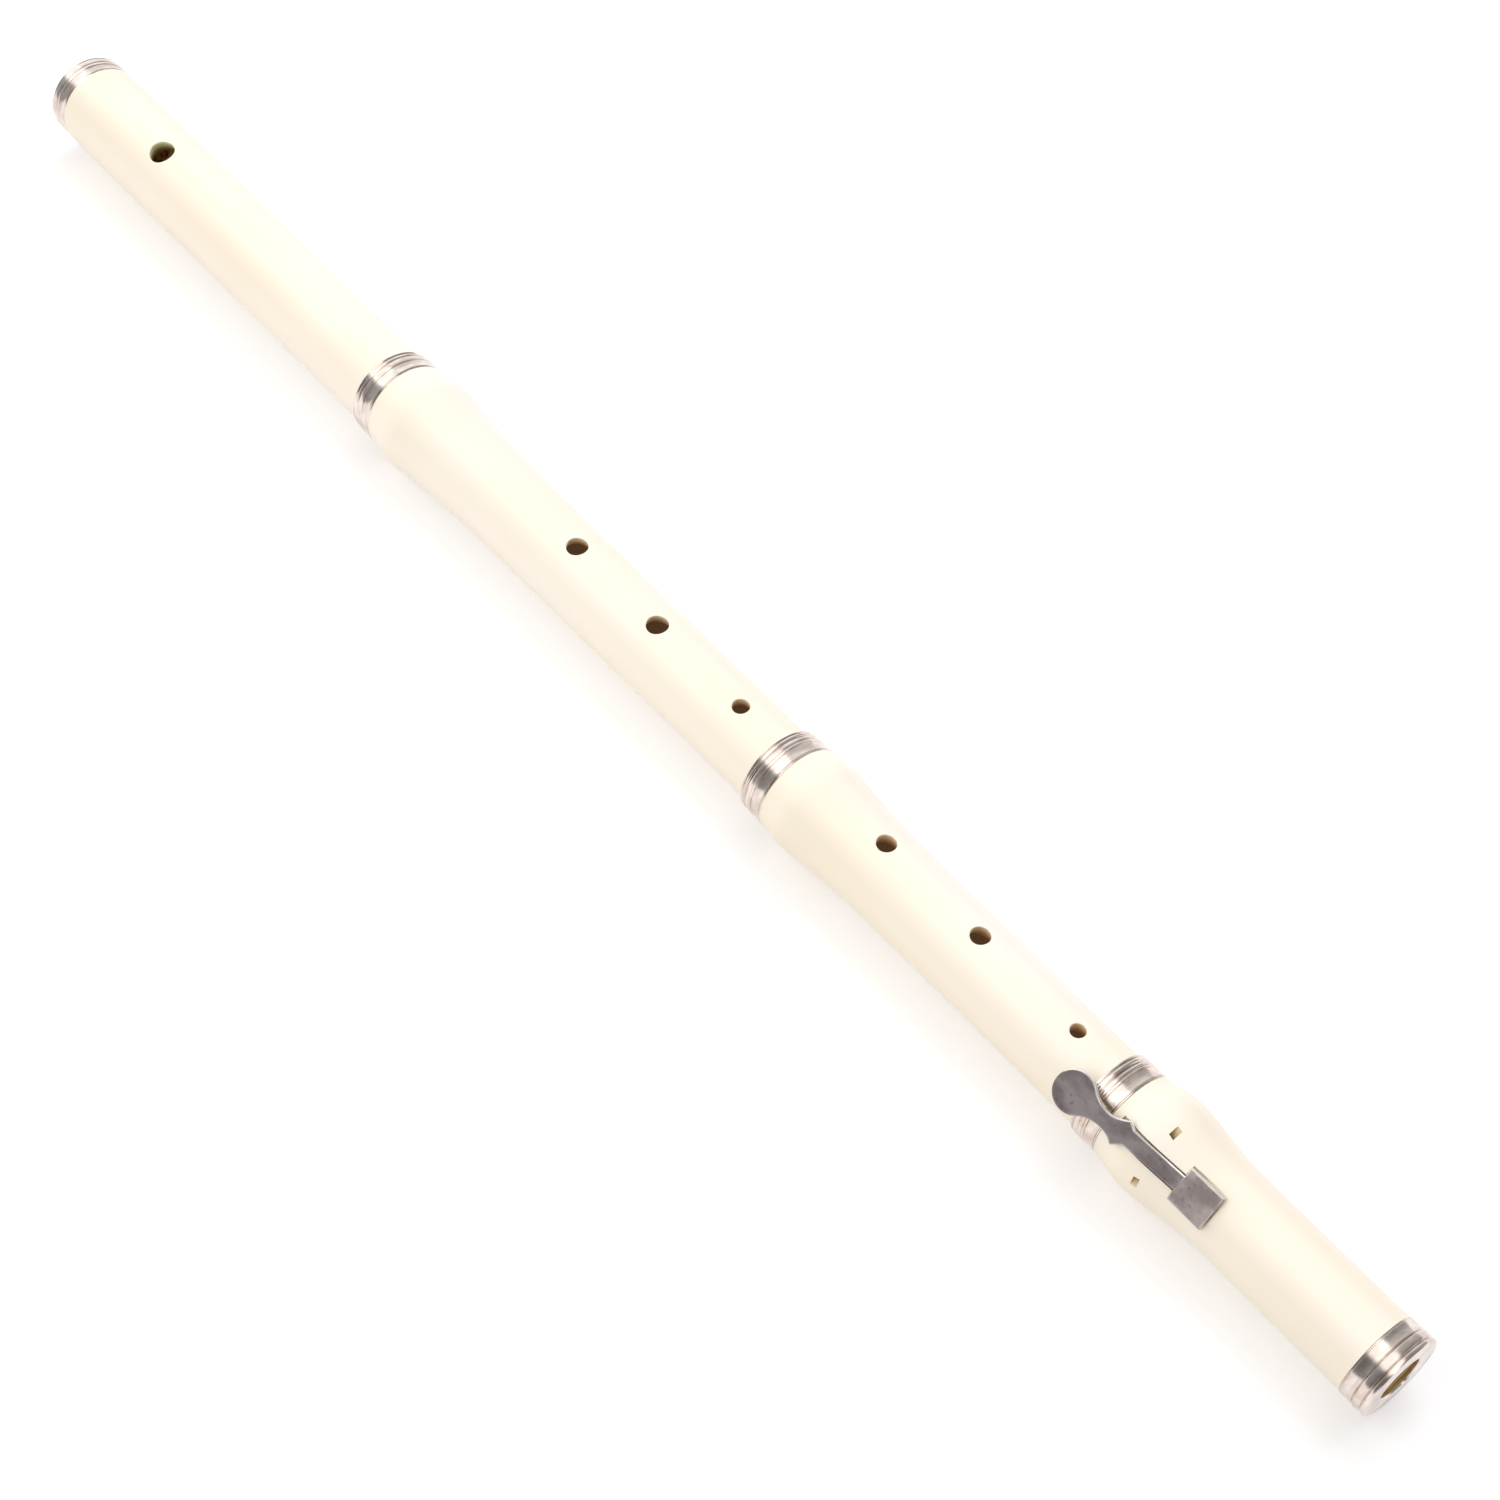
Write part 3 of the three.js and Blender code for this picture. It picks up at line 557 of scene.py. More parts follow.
def bulbRadii(stations, joint, seatStation):
    # Rise: half a cosine wave from the ring to the crest. Fall: slim + (crest - slim) * exp(-(d / cove) ** power)
    crestStart = joint["crest"] - joint["land"] / 2
    crestEnd = joint["crest"] + joint["land"] / 2
    rise = np.clip((stations - seatStation) / (crestStart - seatStation), 0, 1)
    rising = joint["shoulder"] + (joint["crestRadius"] - joint["shoulder"]) * (1 - np.cos(np.pi * rise)) / 2
    slim = np.interp(stations, [crestEnd + joint["reach"], joint["length"]], [joint["slim"], joint["low"]])
    away = np.maximum(stations - crestEnd, 0)
    falling = slim + (joint["crestRadius"] - slim) * np.exp(-(away / joint["cove"]) ** joint["power"])
    radii = np.where(stations < joint["crest"], rising, falling)
    # Softened: the weighted mean of the neighbours, with weights that fall off as a bell
    step, reach = stations[1] - stations[0], bulb["soft"]
    window = np.arange(-int(3 * reach / step), int(3 * reach / step) + 1) * step
    weights = np.exp(-(window / reach) ** 2)
    padded = np.pad(radii, len(window) // 2, mode="reflect", reflect_type="odd")
    return np.convolve(padded, weights / weights.sum(), mode="valid")


def makeBodyTube(name, start, joint, socketTenon, tenon, body):
    # Socket mouth, ring seat, bulb and slim tube, tenon, then back up the bore to the socket
    seatRadius = joint["mouth"] - fit["ringWall"] - fit["gap"]
    socket = socketTenon["lapRadius"] + fit["gap"]
    depth = socketTenon["length"] + fit["gap"]
    seat, shoulder = joint["ring"] + fit["gap"], joint["length"] - fit["gap"]
    end = shoulder + tenon["length"]
    stations = np.linspace(seat, shoulder, int((shoulder - seat) / bulb["step"]))
    # The slim part needs fewer rows
    sparse = (stations > joint["crest"] + bulb["slimFrom"]) & (np.arange(len(stations)) % bulb["slimEvery"] > 0)
    outside = np.stack([stations, bulbRadii(stations, joint, seat)], -1)[~sparse]
    ahead = rounded([(0, socket, 0.35), (0, seatRadius, 0), (seat, seatRadius, 0)])
    between = rounded([(shoulder, joint["low"], 0)] + tenonCorners(shoulder, tenon))
    bore = np.linspace((end, joint["boreEnd"]), (depth, joint["bore"]), bulb["boreRows"])
    parts = [np.asarray(part, float) + [start, 0] for part in (ahead, outside, between, bore, [[depth, socket]])]
    holes = [dict(station=start + s, along=r, across=r, undercut=joint["undercut"] * r)
             for s, r in joint["holes"]]
    drilledTube(name, parts, holes, math.radians(joint["turn"]), fingerWall, body)


# What a ring's features add, times their size, by u, which goes from -1 to 1 across the feature
ringShapes = {
    "bead": lambda u: np.sqrt(1 - u ** 2),
    "cove": lambda u: u ** 2 - 1,
    "groove": lambda u: np.abs(u) - 1,
    "rise": lambda u: np.sqrt(np.clip(1 - ((1 - u) / 2) ** 2, 0, 1)) - 1,
    "drop": lambda u: np.sqrt(np.clip(1 - ((1 + u) / 2) ** 2, 0, 1)) - 1,
    "step": lambda u: np.where(np.abs(u) < 1, -1.0, 0.0)}
ringStep = 0.04


def makeRing(name, start, length, mouth, shoulder, features, body, inner, plate=None):
    # A base line from mouth to shoulder with its features, and for the foot's end a plate round the bore
    stations = np.linspace(0, length, int(length / ringStep) + 1)
    radii = mouth + (shoulder - mouth) * stations / length
    for kind, low, high, size in features:
        share = (stations - (low + high) / 2) / ((high - low) / 2)
        radii = radii + size * ringShapes[kind](np.clip(share, -1, 1))
    tail = [(length, inner), (0, inner)]
    if plate:
        bore, back = plate["bore"], length - plate["thick"]
        tail = [(length, bore + plate["edge"]), (length - plate["edge"], bore), (back, bore),
                (back, inner), (0, inner)]
    outline = np.concatenate([np.stack([stations, radii], -1), tail]) + [start, 0]
    addPiece(name, turnedMesh(outline), [ringMetal], body)


# Head joint: end cap, ring, tube with the mouth hole, cork and thread

head = {"length": 181.5, "top": 14.45, "low": 13.65, "taperEnd": 170, "bore": 9.3, "ring": 8.2, "ringRadius": 14.3,
        "turn": -12, "mouth": 56.05, "along": 4.35, "across": 4.25, "undercut": 1.2, "faceThickness": 3,
        "boreLead": 0.6, "rows": 160, "boreRows": 70}
headTenon = {"length": 24, "radius": 11.3, "lapLength": 17, "lapDepth": 0.8, "lapRadius": 11.45, "endWall": 2}
headRingFeatures = [
    ("rise", 0, 0.5, 0.35), ("groove", 0.5, 0.85, 0.25), ("bead", 0.9, 2.8, 0.12), ("groove", 2.8, 3.15, 0.35),
    ("bead", 3.2, 4.4, 0.12), ("groove", 4.45, 4.8, 0.35), ("cove", 4.95, 7.1, 0.08),
    ("groove", 7.4, 7.75, 0.3), ("drop", 7.9, 8.2, 0.12)]
endCap = {"crown": 0.9, "plug": 9, "rimRound": 0.5, "plugRound": 0.6, "lineAt": 0.8, "lineWidth": 0.012,
          "lineHeight": 0.12}
stopper = {"length": 14, "fromMouth": 18.6, "edgeRound": 0.5, "columns": 96}
plugCentre = 1      # radius at which a plug's outline starts and ends


def makeHead():
    shoulder, end = head["length"] - fit["gap"], head["length"] - fit["gap"] + headTenon["length"]
    seat, tubeStart = head["ring"] + fit["gap"], head["faceThickness"] + fit["gap"]
    inner = head["ringRadius"] - fit["ringWall"]
    seatRadius = inner - fit["gap"]
    # Taper: low + (top - low) * (1 + cos(pi * share)) / 2 along the tube
    stations = np.linspace(seat, shoulder, head["rows"])
    share = np.clip((stations - seat) / (head["taperEnd"] - seat), 0, 1)
    outside = np.stack([stations, head["low"] + (head["top"] - head["low"]) * (1 + np.cos(np.pi * share)) / 2], -1)
    ahead = rounded([(tubeStart, head["bore"], 0.3), (tubeStart, seatRadius, 0), (seat, seatRadius, 0)])
    bore = np.linspace((end, head["bore"]), (tubeStart + head["boreLead"], head["bore"]), head["boreRows"])
    hole = dict(station=head["mouth"], along=head["along"], across=head["across"], undercut=head["undercut"])
    drilledTube("head_tube", (ahead, outside, rounded(tenonCorners(shoulder, headTenon)), bore, []), [hole],
                math.radians(head["turn"]), mouthWall, "head_joint")
    makeThread("head_tenon_lapping", 0, shoulder, headTenon, "head_lap")
    makeRing("head_end_ring", 0, head["ring"], head["ringRadius"], head["ringRadius"], headRingFeatures,
             "head_joint", inner)
    # Cap: a domed face whose drop is crown * share of the radius squared, with a fine line near its rim
    plugRadius, face = head["bore"] - fit["gap"], head["faceThickness"]
    share = np.linspace(0.02, 0.93, 30)
    line = endCap["lineHeight"] * np.exp(-((share - endCap["lineAt"]) / endCap["lineWidth"]) ** 2)
    dome = np.stack([endCap["crown"] * share ** 2 + line, seatRadius * share], -1)
    rim = rounded([(endCap["crown"] * 0.9, seatRadius * 0.95, 0), (endCap["crown"], seatRadius, endCap["rimRound"]),
                   (face, seatRadius, 0), (face, plugRadius, 0),
                   (face + endCap["plug"], plugRadius, endCap["plugRound"]), (face + endCap["plug"], plugCentre, 0)])
    addPiece("end_cap", plugMesh(np.concatenate([dome, rim])), [ivory], "cap")
    high = head["mouth"] - stopper["fromMouth"]
    low, edge = high - stopper["length"], stopper["edgeRound"]
    cork = rounded([(low, plugCentre, 0), (low, plugRadius, edge),
                    (high, plugRadius, edge), (high, plugCentre, 0)])
    addPiece("stopper_cork", plugMesh(cork, stopper["columns"]), [corkGrain], "stopper")


# Upper body: largest bulb, three finger holes

upper = {"start": 181.5, "length": 187.8, "slim": 12.85, "low": 12.42, "bore": 9.1, "boreEnd": 8.0, "ring": 9.1,
         "mouth": 14.45, "shoulder": 14.95, "crest": 20.5, "crestRadius": 16.1, "land": 1.2,
         "cove": 20, "power": 1.1, "reach": 66, "holes": [(96.65, 3.25), (134.25, 3.3), (171.65, 2.55)], "turn": 0,
         "undercut": 0.48}
upperTenon = {"length": 22, "radius": 10.1, "lapLength": 15, "lapDepth": 0.8, "lapRadius": 10.25, "endWall": 2}
upperRingFeatures = [
    ("rise", 0, 0.5, 0.35), ("groove", 0.5, 1.3, 0.4), ("bead", 1.35, 2.3, 0.14), ("groove", 2.3, 2.65, 0.3),
    ("bead", 2.7, 4.75, 0.16), ("groove", 4.8, 5.25, 0.45), ("cove", 5.4, 7.9, 0.1), ("groove", 8.3, 8.85, 0.35),
    ("drop", 8.85, 9.1, 0.12)]

# Lower body: second bulb, three finger holes

lower = {"start": 369.3, "length": 131.2, "slim": 12.4, "low": 12.15, "bore": 7.9, "boreEnd": 7.0, "ring": 8.8,
         "mouth": 13.6, "shoulder": 13.95, "crest": 17.7, "crestRadius": 14.65, "land": 1.2,
         "cove": 14.3, "power": 1.2, "reach": 46, "holes": [(44.05, 2.85), (81.15, 2.85), (117.75, 2.2)], "turn": 4,
         "undercut": 0.5}
lowerTenon = {"length": 19, "radius": 9.0, "lapLength": 12.5, "lapDepth": 0.8, "lapRadius": 9.15, "endWall": 2}
lowerRingFeatures = [
    ("rise", 0, 0.4, 0.3), ("groove", 0.35, 0.95, 0.4), ("bead", 1.05, 1.75, 0.12), ("groove", 1.8, 2.4, 0.42),
    ("bead", 2.5, 3.6, 0.14), ("groove", 3.65, 3.95, 0.25), ("bead", 4.0, 4.6, 0.1), ("groove", 4.6, 5.05, 0.45),
    ("cove", 5.2, 7.9, 0.08), ("groove", 8.05, 8.45, 0.35), ("drop", 8.5, 8.8, 0.12)]

makeHead()
for side, joint, socketTenon, tenon, features in (
        ("upper", upper, headTenon, upperTenon, upperRingFeatures),
        ("lower", lower, upperTenon, lowerTenon, lowerRingFeatures)):
    makeBodyTube(side + "_body_tube", joint["start"], joint, socketTenon, tenon, side + "_joint")
    makeRing(side + "_body_ring", joint["start"], joint["ring"], joint["mouth"], joint["shoulder"], features,
             side + "_joint", joint["mouth"] - fit["ringWall"])
    makeThread(side + "_tenon_lapping", joint["start"], joint["length"] - fit["gap"], tenon, side + "_lap")
print("head and bodies made")


# Foot: bulb with the key's slot, and the flat seat that the flap covers

foot = {"start": 500.5, "length": 99.5, "slim": 12.2, "low": 12.15, "bore": 6.9, "boreEnd": 6.5, "ring": 8.6,
        "mouth": 12.95, "shoulder": 13.15, "crest": 19.5, "crestRadius": 14.65, "land": 1.2,
        "cove": 12.2, "power": 1.8, "reach": 34, "endRing": 8, "endRadius": 12.4, "endPlate": 1.1,
        "rows": 300, "boreRows": 30, "columns": 256}
footRingFeatures = [
    ("rise", 0, 0.4, 0.2), ("groove", 0.5, 1.05, 0.35), ("bead", 1.1, 2.0, 0.14), ("groove", 2.05, 2.75, 0.42),
    ("bead", 2.8, 3.65, 0.12), ("groove", 3.65, 3.95, 0.22), ("bead", 4.0, 4.5, 0.08), ("groove", 4.5, 4.9, 0.38),
    ("cove", 5.0, 7.8, 0.08), ("groove", 7.95, 8.3, 0.32), ("drop", 8.35, 8.6, 0.1)]
footEndFeatures = [
    ("step", 0, 0.3, 0.12), ("groove", 0.25, 0.5, 0.15), ("cove", 0.5, 3.4, 0.14), ("groove", 3.5, 4.1, 0.42),
    ("bead", 4.15, 6.15, 0.12), ("groove", 6.15, 6.7, 0.42), ("bead", 6.75, 7.7, 0.1), ("drop", 7.5, 8.0, 0.45)]
key = {"turn": 41.5, "pin": 23.5, "pinHeight": 11.8, "pinRadius": 0.65, "pinHalf": 6.6, "pinChamfer": 0.15,
       "top": 15.2, "slope": 7.65, "thick": 1.5, "bevel": 0.4,
       "touch": 24.35, "touchRadius": 5.85, "waist": 14.7, "waistHalf": 2.2, "shoulder": 9.45, "shoulderHalf": 4.1,
       "shoulderSkew": 0.3, "arm": 7.1, "armHalf": 2.4, "armEnd": 9.55, "armEndHalf": 2.2, "flapStart": 9.1,
       "flapLength": 10.9, "flapHalf": 5.05, "flapHeight": 13.8, "flapThick": 1.6, "flapBevel": 0.4,
       # Filed by hand, so its parts aren't quite in line with the slot
       "touchOffset": -0.8, "shoulderOffset": -0.5, "armOffset": 0, "armEndOffset": 0.25, "flapOffset": 0.15,
       "lugRadius": 1.9, "lugHalf": 1.75, "lugReach": 2.4}
keyway = {"half": 2.7, "front": 12.2, "frontDepth": 12.3, "deep": 4.2, "depth": 10.7, "pocket": 2.5,
          "pocketDepth": 9.55, "window": 0.9, "seat": 11.1, "seatMargin": 0.3, "toneHole": 3.1, "overlap": 0.5,
          "above": 4}


def onKey(along, across, height):
    # The key's own place: distance from the pin towards the foot's end, across, and height from the axis
    along, across, height = np.broadcast_arrays(along, across, height)
    turn = math.radians(key["turn"])
    y = across * math.cos(turn) - height * math.sin(turn)
    z = across * math.sin(turn) + height * math.cos(turn)
    return np.stack([startX + (foot["start"] + key["pin"] + along) * mm, axisY + y * mm, axisZ + z * mm], -1)


def blockMesh(low, high, shade):
    # A block between two corners in the key's own place
    x, y = np.array([low[0], high[0], high[0], low[0]]), np.array([low[1], low[1], high[1], high[1]])
    return loft([onKey(x, y, low[2]), onKey(x, y, high[2])], True, shade)


def barMesh(height, radius, half, chamfer=0.0, sides=48):
    # A round bar across the key at the pin, with chamfered ends if asked
    angle = columnsOf(sides)
    rings = [(-half, radius - chamfer), (-half + chamfer, radius),
             (half - chamfer, radius), (half, radius - chamfer)]
    return loft([onKey(size * np.cos(angle), place, height + size * np.sin(angle))
                 for place, size in (rings if chamfer else [rings[0], rings[3]])])


def uprightMesh(along, outline, sides=64, shade=0):
    # An outline of (radius, height) turned about a line square to the key
    angle, outline = columnsOf(sides), np.asarray(outline, float)
    return loft(onKey(along + outline[:, :1] * np.cos(angle), outline[:, :1] * np.sin(angle), outline[:, 1:]),
                True, shade)


def combine(target, mesh, materials, operation="DIFFERENCE"):
    # Cuts a closed mesh from another or joins it on, and leaves the result in the target
    tool = addPiece("tool", mesh, materials)
    modifier = target.modifiers.new("join", "BOOLEAN")
    modifier.operation, modifier.object, modifier.solver = operation, tool, "MANIFOLD"
    view = bpy.context.evaluated_depsgraph_get()
    made = bpy.data.meshes.new_from_object(target.evaluated_get(view), depsgraph=view)
    target.modifiers.clear()
    old, target.data = target.data, made
    made.name = target.name
    bpy.data.meshes.remove(old)
    bpy.data.objects.remove(tool)


def makeFootTube():
    seat, seatRadius = foot["ring"] + fit["gap"], foot["mouth"] - fit["ringWall"] - fit["gap"]
    socket, depth = lowerTenon["lapRadius"] + fit["gap"], lowerTenon["length"] + fit["gap"]
    endShoulder = foot["length"] - foot["endRing"] - fit["gap"]
    endSeat = foot["endRadius"] - fit["ringWall"] - fit["gap"]
    plateSeat = foot["length"] - foot["endPlate"] - fit["gap"]
    stations = np.linspace(seat, endShoulder, foot["rows"])
    outline = np.concatenate([
        rounded([(0, socket, 0.3), (0, seatRadius, 0), (seat, seatRadius, 0)]),
        np.stack([stations, bulbRadii(stations, foot, seat)], -1),
        [[endShoulder, endSeat], [plateSeat, endSeat], [plateSeat, foot["boreEnd"]]],
        np.linspace((plateSeat - 1, foot["boreEnd"]), (depth + 1, foot["bore"]), foot["boreRows"]),
        [[depth, foot["bore"]], [depth, socket]]]) + [foot["start"], 0]
    shades = np.zeros(len(outline), int)
    shades[-3 - foot["boreRows"]:-2] = 1
    finishes = [ivory, boreWall, fingerWall, pinWall]
    tube = addPiece("foot_tube", turnedMesh(outline, foot["columns"], shades), finishes)
    top, crest = foot["crestRadius"] + keyway["above"], foot["crestRadius"]
    seatStart = key["flapStart"] - keyway["seatMargin"]
    seatEnd = key["flapStart"] + key["flapLength"] + keyway["seatMargin"]
    half, window, slotEnd = keyway["half"], keyway["window"], seatStart + keyway["overlap"]
    left, right = [key["flapOffset"] + way * (key["flapHalf"] + keyway["seatMargin"]) for way in (-1, 1)]
    for low, high, shade in (
            ((-keyway["front"], -half, keyway["frontDepth"]), (slotEnd, half, top), 0),
            ((-keyway["deep"], -half, keyway["depth"]), (slotEnd, half, top), 0),
            ((-keyway["pocket"], -half, keyway["pocketDepth"]), (keyway["pocket"], half, top), 0),
            ((seatStart, left, keyway["seat"]), (seatEnd, right, top), 0),
            ((-window, -crest, key["pinHeight"] - window), (window, crest, key["pinHeight"] + window), 3)):
        combine(tube, blockMesh(low, high, shade), finishes)
    middle, hole = key["flapStart"] + key["flapLength"] / 2, keyway["toneHole"]
    combine(tube, uprightMesh(middle, [(hole, 0), (hole, top)], shade=2), finishes)
    shadeSmooth(tube.data)
    finishPiece(tube, "foot_tube", "foot_joint")


makeFootTube()
makeRing("foot_socket_ring", foot["start"], foot["ring"], foot["mouth"], foot["shoulder"], footRingFeatures,
         "foot_joint", foot["mouth"] - fit["ringWall"])
makeRing("foot_end_ring", foot["start"] + foot["length"] - foot["endRing"], foot["endRing"], foot["endRadius"],
         foot["endRadius"], footEndFeatures, "foot_joint", foot["endRadius"] - fit["ringWall"],
         plate={"bore": foot["boreEnd"], "thick": foot["endPlate"], "edge": 0.35})
print("foot made")


# Key: lever with its lug, pad, pin, leaf spring and rivet

def bezier(points, count):
    # Points on a curve of any degree, by repeated mixing of each handle with the next
    t = np.linspace(0, 1, count, endpoint=False)[:, None]
    rows = [np.broadcast_to(np.array(p, float), (count, 2)) for p in points]
    while len(rows) > 1:
        rows = [(1 - t) * a + t * b for a, b in zip(rows, rows[1:])]
    return rows[0]


def leverPlan():
    # One side from the arm's end to the touch, then the touch's arc, then the other side back
    corner, middle = math.radians(45), key["touchOffset"]
    joinX = -key["touch"] + key["touchRadius"] * math.cos(corner)
    between = lambda share: -key["shoulder"] + (key["shoulder"] - key["waist"]) * share
    out = key["shoulderHalf"] + (key["waistHalf"] - key["shoulderHalf"]) * 0.8

    def side(way):
        armEnd = (key["armEnd"], key["armEndOffset"] + way * key["armEndHalf"])
        armStart = (-key["arm"], key["armOffset"] + way * key["armHalf"])
        tip = (way * key["shoulderSkew"] - key["shoulder"], key["shoulderOffset"] + way * key["shoulderHalf"])
        waist = (-key["waist"], middle + way * key["waistHalf"])
        return np.concatenate([
            bezier([armEnd, armStart], 24), bezier([armStart, tip], 8),
            bezier([tip, (between(0.4), key["shoulderOffset"] + way * out), (between(0.7), waist[1]), waist], 24),
            bezier([waist, ((joinX - key["waist"]) / 2, waist[1]),
                    (joinX, middle + way * key["touchRadius"] * math.sin(corner))], 16)])

    angle = np.linspace(corner, 2 * math.pi - corner, 72)
    arc = np.stack([-key["touch"] + key["touchRadius"] * np.cos(angle),
                    middle + key["touchRadius"] * np.sin(angle)], -1)
    return np.concatenate([side(1), arc, side(-1)[::-1]])


def plateMesh(plan, thick, bevel, heightAt, steps=4):
    # Rings from the underside up: a rounded lower edge, the side, a rounded upper edge. Each corner moves
    # inwards along the mean of its two sides' normals, by distance / cos(half the bend).
    before, after = plan - np.roll(plan, 1, 0), np.roll(plan, -1, 0) - plan
    normals = [np.stack([-v[:, 1], v[:, 0]], -1) / np.linalg.norm(v, axis=1)[:, None] for v in (before, after)]
    mean = normals[0] + normals[1]
    mean = mean / np.linalg.norm(mean, axis=1)[:, None]
    cosine = np.clip((mean * normals[0]).sum(1), 0.5, 1)[:, None]
    area = (plan[:, 0] * np.roll(plan[:, 1], -1) - np.roll(plan[:, 0], -1) * plan[:, 1]).sum()
    way = 1 if area > 0 else -1
    turns = np.linspace(0, math.pi / 2, steps)
    levels = [(bevel * (1 - math.sin(t)), -thick + bevel * (1 - math.cos(t))) for t in turns]
    levels += [(bevel * (1 - math.cos(t)), -bevel * (1 - math.sin(t))) for t in turns]
    flats = [plan + mean / cosine * distance * way for distance, _ in levels]
    return loft([onKey(flat[:, 0], flat[:, 1], heightAt(flat[:, 0]) + drop)
                 for flat, (_, drop) in zip(flats, levels)], area > 0)


def flatFaces(mesh, directions):
    # Flat parts become single faces. Those square to a direction in the key's own place are shaded flat,
    # so bevels stay crisp. The edges on the third direction's side get a painted highlight: a paler metal.
    soft = bmesh.new()
    soft.from_mesh(mesh)
    bmesh.ops.dissolve_degenerate(soft, dist=0.005 * mm, edges=soft.edges)
    bmesh.ops.dissolve_limit(soft, angle_limit=math.radians(0.5), verts=soft.verts, edges=soft.edges)
    soft.to_mesh(mesh)
    soft.free()
    normals = np.empty(len(mesh.polygons) * 3, np.float32)
    mesh.polygons.foreach_get("normal", normals)
    axes = np.array([onKey(*d) - onKey(0, 0, 0) for d in directions]).reshape(-1, 3) / mm
    facing = np.abs(normals.reshape(-1, 3) @ axes.T).max(1)
    mesh.polygons.foreach_set("use_smooth", facing < 0.9995)
    # Painted highlight: faces turned to the third direction get the near-white edge metal
    bright = normals.reshape(-1, 3) @ axes[2] > keyLook["edgeTurn"]
    mesh.polygons.foreach_set("material_index", bright.astype(np.int32))
    mesh.update()


def makeLever():
    slope = math.radians(key["slope"])
    plate = plateMesh(leverPlan(), key["thick"] / math.cos(slope), key["bevel"],
                      lambda along: key["top"] - along * math.tan(slope))
    lever = addPiece("key_lever", plate, [keyMetal, keyEdgeHighlight])
    low, high = key["flapOffset"] - key["flapHalf"], key["flapOffset"] + key["flapHalf"]
    start, end = key["flapStart"], key["flapStart"] + key["flapLength"]
    flap = plateMesh(np.array([[start, low], [end, low], [end, high], [start, high]]), key["flapThick"],
                     key["flapBevel"], lambda along: key["flapHeight"] + 0 * along)
    combine(lever, flap, [keyMetal], "UNION")
    # Lug: a tongue from the arm's underside, rounded below the pin
    angle, rise = np.linspace(math.pi, 2 * math.pi, 32), key["top"] - key["pinHeight"]
    plan = np.concatenate([[[-key["lugReach"], rise - key["thick"] / 2]],
                           key["lugRadius"] * np.stack([np.cos(angle), np.sin(angle)], -1),
                           [[key["lugReach"], rise - key["thick"]]]])
    lug = loft([onKey(plan[:, 0], side * key["lugHalf"], plan[:, 1] + key["pinHeight"]) for side in (-1, 1)])
    combine(lever, lug, [keyMetal], "UNION")
    combine(lever, barMesh(key["pinHeight"], key["pinRadius"] + fit["gap"], key["lugHalf"] + 4), [keyMetal])
    shadeSmooth(lever.data)
    flatFaces(lever.data, [(math.sin(slope), 0, math.cos(slope)), (0, 0, 1), (0, 1, 0), (1, 0, 0)])
    finishPiece(lever, "key_lever", "key")


def leverUnder(distance):
    # Height of the lever's underside at a distance from the pin towards the touch
    slope = math.radians(key["slope"])
    return key["top"] + distance * math.tan(slope) - key["thick"] / math.cos(slope)


spring = {"left": -1.3, "right": 0.7, "thick": 0.35, "edge": 0.1, "tip": 6.4, "tail": 1.6, "rivet": 18.6,
          "gap": 0.3, "highShare": 0.45, "lowShare": 0.7}
rivet = {"shank": 0.5, "head": 1.0, "headThick": 0.45}
pad = {"radius": 4.3, "bulge": 0.4}


def makeSpring():
    # A leaf carried along a curve: flat under the lever, then down to the slot's floor, edges rounded
    under = lambda distance: (-distance, leverUnder(distance) - fit["gap"])
    tipTop = keyway["frontDepth"] + spring["gap"] + spring["thick"]
    high, low = [spring["rivet"] + (spring["tip"] - spring["rivet"]) * spring[share]
                 for share in ("highShare", "lowShare")]
    start, first = under(spring["rivet"] + spring["tail"]), under(spring["rivet"] - spring["tail"])
    tip = (-spring["tip"], tipTop)
    line = np.concatenate([bezier([start, first], 10),
                           bezier([first, under(high), (-low, tipTop), tip], 40), [tip]])
    left, right, thick, edge = [spring[label] for label in ("left", "right", "thick", "edge")]
    across = np.array([left + edge, right - edge, right, right, right - edge, left + edge, left, left])
    drop = np.array([0, 0, -edge, -thick + edge, -thick, -thick, -thick + edge, -edge])
    leaf = addPiece("key_spring", loft(onKey(line[:, :1], across[None, :], line[:, 1:] + drop[None, :])), [brass],
                    sharpAngle=60)
    # Its tip rests at the slot's floor. Where the leaf would bend as the lever turns is worked out, but nothing here
    # uses it
    bendFrom, bendTo = onKey(-high, 0, tipTop), onKey(-spring["tip"] - 1, 0, tipTop)
    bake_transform(leaf)
    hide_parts("key_spring")


def makeSmallPieces():
    top, low = key["flapHeight"] - key["flapThick"] - fit["gap"], keyway["seat"] + fit["gap"]
    # Pad: a leather disc whose sides bulge by a half circle of small size
    t = np.linspace(-math.pi / 2, math.pi / 2, 12)
    side = np.stack([pad["radius"] + pad["bulge"] * np.cos(t), (top + low) / 2 + (top - low) / 2 * np.sin(t)], -1)
    addPiece("key_pad", uprightMesh(key["flapStart"] + key["flapLength"] / 2, side), [kidLeather], "key",
             50)
    addPiece("key_pin", barMesh(key["pinHeight"], key["pinRadius"], key["pinHalf"], key["pinChamfer"]), [brass],
             "foot_joint")
    headTop = leverUnder(spring["rivet"] - rivet["head"]) - spring["thick"] - 2 * fit["gap"]
    shankTop = leverUnder(spring["rivet"] - rivet["shank"]) - fit["gap"]
    t = np.linspace(0, math.pi / 2, 8)[1:]
    outline = np.concatenate([
        np.stack([rivet["head"] * np.sin(t), headTop - rivet["headThick"] * np.cos(t)], -1),
        [[rivet["shank"], headTop], [rivet["shank"], shankTop]]])
    addPiece("spring_rivet", uprightMesh(-spring["rivet"], outline, 32), [brass], "key")


keyMetal = makeKeyMetal()
makeLever()
makeSpring()
makeSmallPieces()
print("key made")


# Studio: pale floor, two broad lamps, and a room that shows in the metal

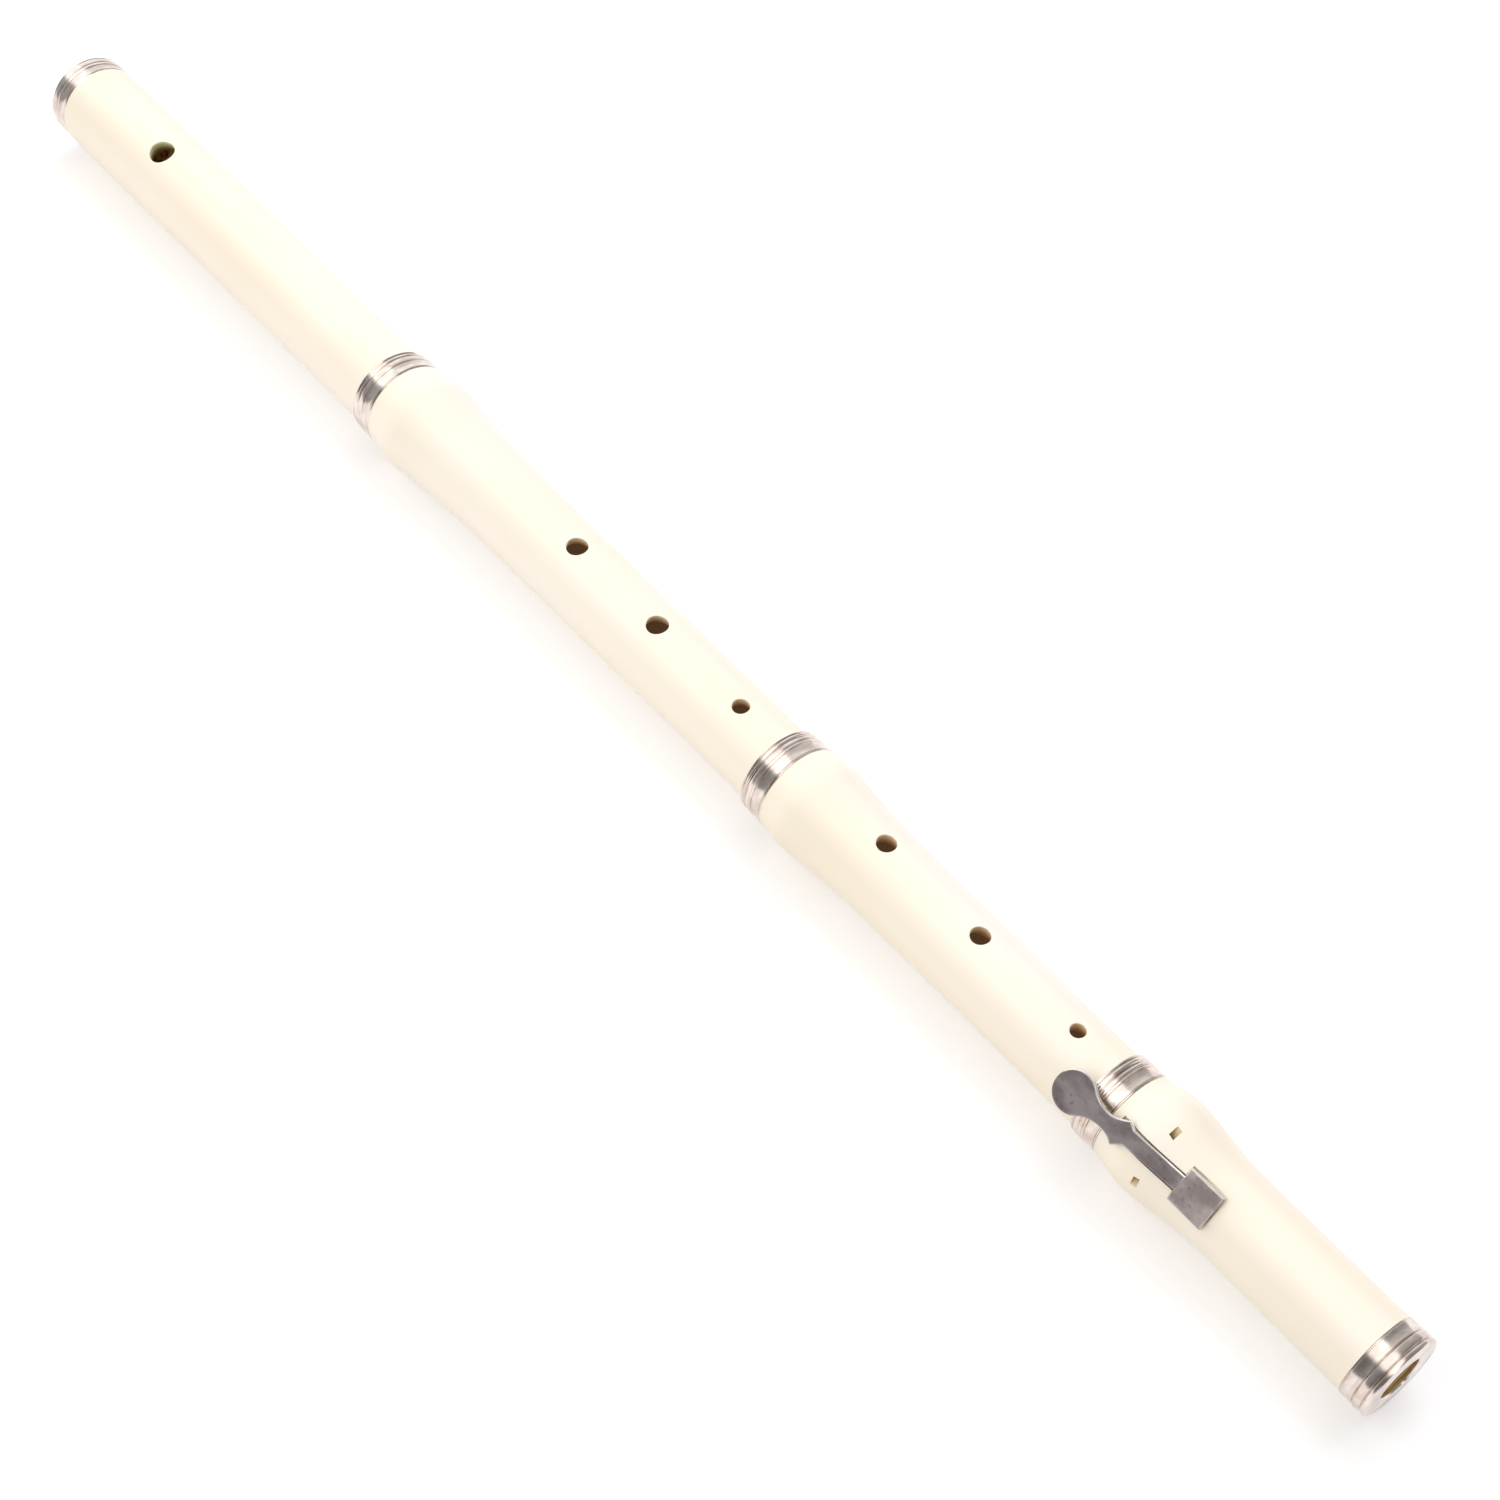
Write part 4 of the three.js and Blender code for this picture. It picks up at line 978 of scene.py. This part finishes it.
studio = {"floorSize": 6, "floorDrop": -0.1, "floorColor": rgb(229, 226, 224), "whiteShare": 0.32,
          "worldLight": 0.67, "lean": 0.75, "backdrop": 0.88, "roomBright": 1.7,
          "skyLow": 0.75, "skyHigh": 0.87, "backLow": 0.12, "backHigh": 0.26,
          "front": 0.2, "frontRise": 0.25, "back": 0.32, "backRise": 1.15}
lamps = {"skyLamp": {"place": (-0.1, 0.75, 1.1), "size": 1.3, "power": 8, "color": (0.97, 0.98, 1.12)},
         "fillLamp": {"place": (-0.1, -0.65, 0.7), "size": 0.9, "power": 3.2, "color": (1, 1, 1)}}
lampTarget = Vector((-0.1, 0, 0))


def makeFloor():
    material, tree = newMaterial("floorPaper")
    paper = setShader(tree, {"Base Color": studio["floorColor"], "Roughness": 0.9, "Specular IOR Level": 0})
    # White to the camera and in reflections, added to the lit paper so that the shadow stays
    path = addNode(tree, "LightPath", {}).outputs
    seen = calculate(tree, "MAXIMUM", path["Is Camera Ray"], path["Is Glossy Ray"])
    clear = calculate(tree, "MAXIMUM", seen, path["Is Transmission Ray"])
    glow = addNode(tree, "Emission", {"Strength": calculate(tree, "MULTIPLY", clear, studio["whiteShare"])})
    both = addNode(tree, "AddShader", {0: paper.outputs[0], 1: glow.outputs[0]})
    feed(tree.nodes["Material Output"].inputs["Surface"], both.outputs[0])
    half = studio["floorSize"] / 2
    corners = ((-half, -half), (half, -half), (half, half), (-half, half))
    points = np.array([(x, y, studio["floorDrop"] * mm) for x, y in corners])
    addPiece("studioFloor", (points, [(np.arange(4)[None, :], 0)]), [material])


def makeLamp(name):
    lamp, data = lamps[name], bpy.data.lights.new(name, "AREA")
    data.shape, data.size, data.energy, data.color = "DISK", lamp["size"], lamp["power"], lamp["color"]
    place = Vector(lamp["place"])
    light = bpy.data.objects.new(name, data)
    turn = (place - lampTarget).to_track_quat("Z", "Y").to_matrix().to_4x4()
    light.matrix_world = Matrix.Translation(place) @ turn
    light.visible_glossy = False          # the room alone shows in the metal
    bpy.context.collection.objects.link(light)


def makeWorld():
    # Even light but for a lean towards the head's side. In reflections the room is bright overhead, and its
    # sides are base + rise * (how far the direction points to -X), one pair for the front and one for the back.
    world = bpy.data.worlds.new("studioRoom")
    world.use_nodes = True
    bpy.context.scene.world = world
    tree = world.node_tree
    x, y, z = placeParts(tree, "Generated")
    # How far a direction is round the flute: z and y over the root of 1 - x squared
    rest = calculate(tree, "SUBTRACT", 1.0001, calculate(tree, "MULTIPLY", x, x))
    root = calculate(tree, "SQRT", rest)
    front, back = [remap(tree, x, 0, -1, studio[side], studio[side] + studio[side + "Rise"])
                   for side in ("front", "back")]
    sideways, upward = [calculate(tree, "DIVIDE", part, root) for part in (y, z)]
    behind = remap(tree, sideways, studio["backLow"], studio["backHigh"], kind="SMOOTHSTEP")
    overhead = remap(tree, upward, studio["skyLow"], studio["skyHigh"], kind="SMOOTHSTEP")
    room = mixValues(tree, behind, mixValues(tree, overhead, front, studio["roomBright"]), back)
    level, lean = studio["worldLight"], studio["lean"]
    even = remap(tree, x, -1, 1, level * (1 + lean), level * (1 - lean))
    path = addNode(tree, "LightPath", {}).outputs
    light = mixValues(tree, path["Is Glossy Ray"], even, room)
    background = tree.nodes["Background"].inputs
    feed(background["Strength"], mixValues(tree, path["Is Camera Ray"], light, studio["backdrop"]))
    feed(background["Color"], (1, 1, 1, 1))


makeFloor()
for name in lamps:
    makeLamp(name)
makeWorld()
bpy.context.scene.view_settings.view_transform = "Standard"
print("studio made")
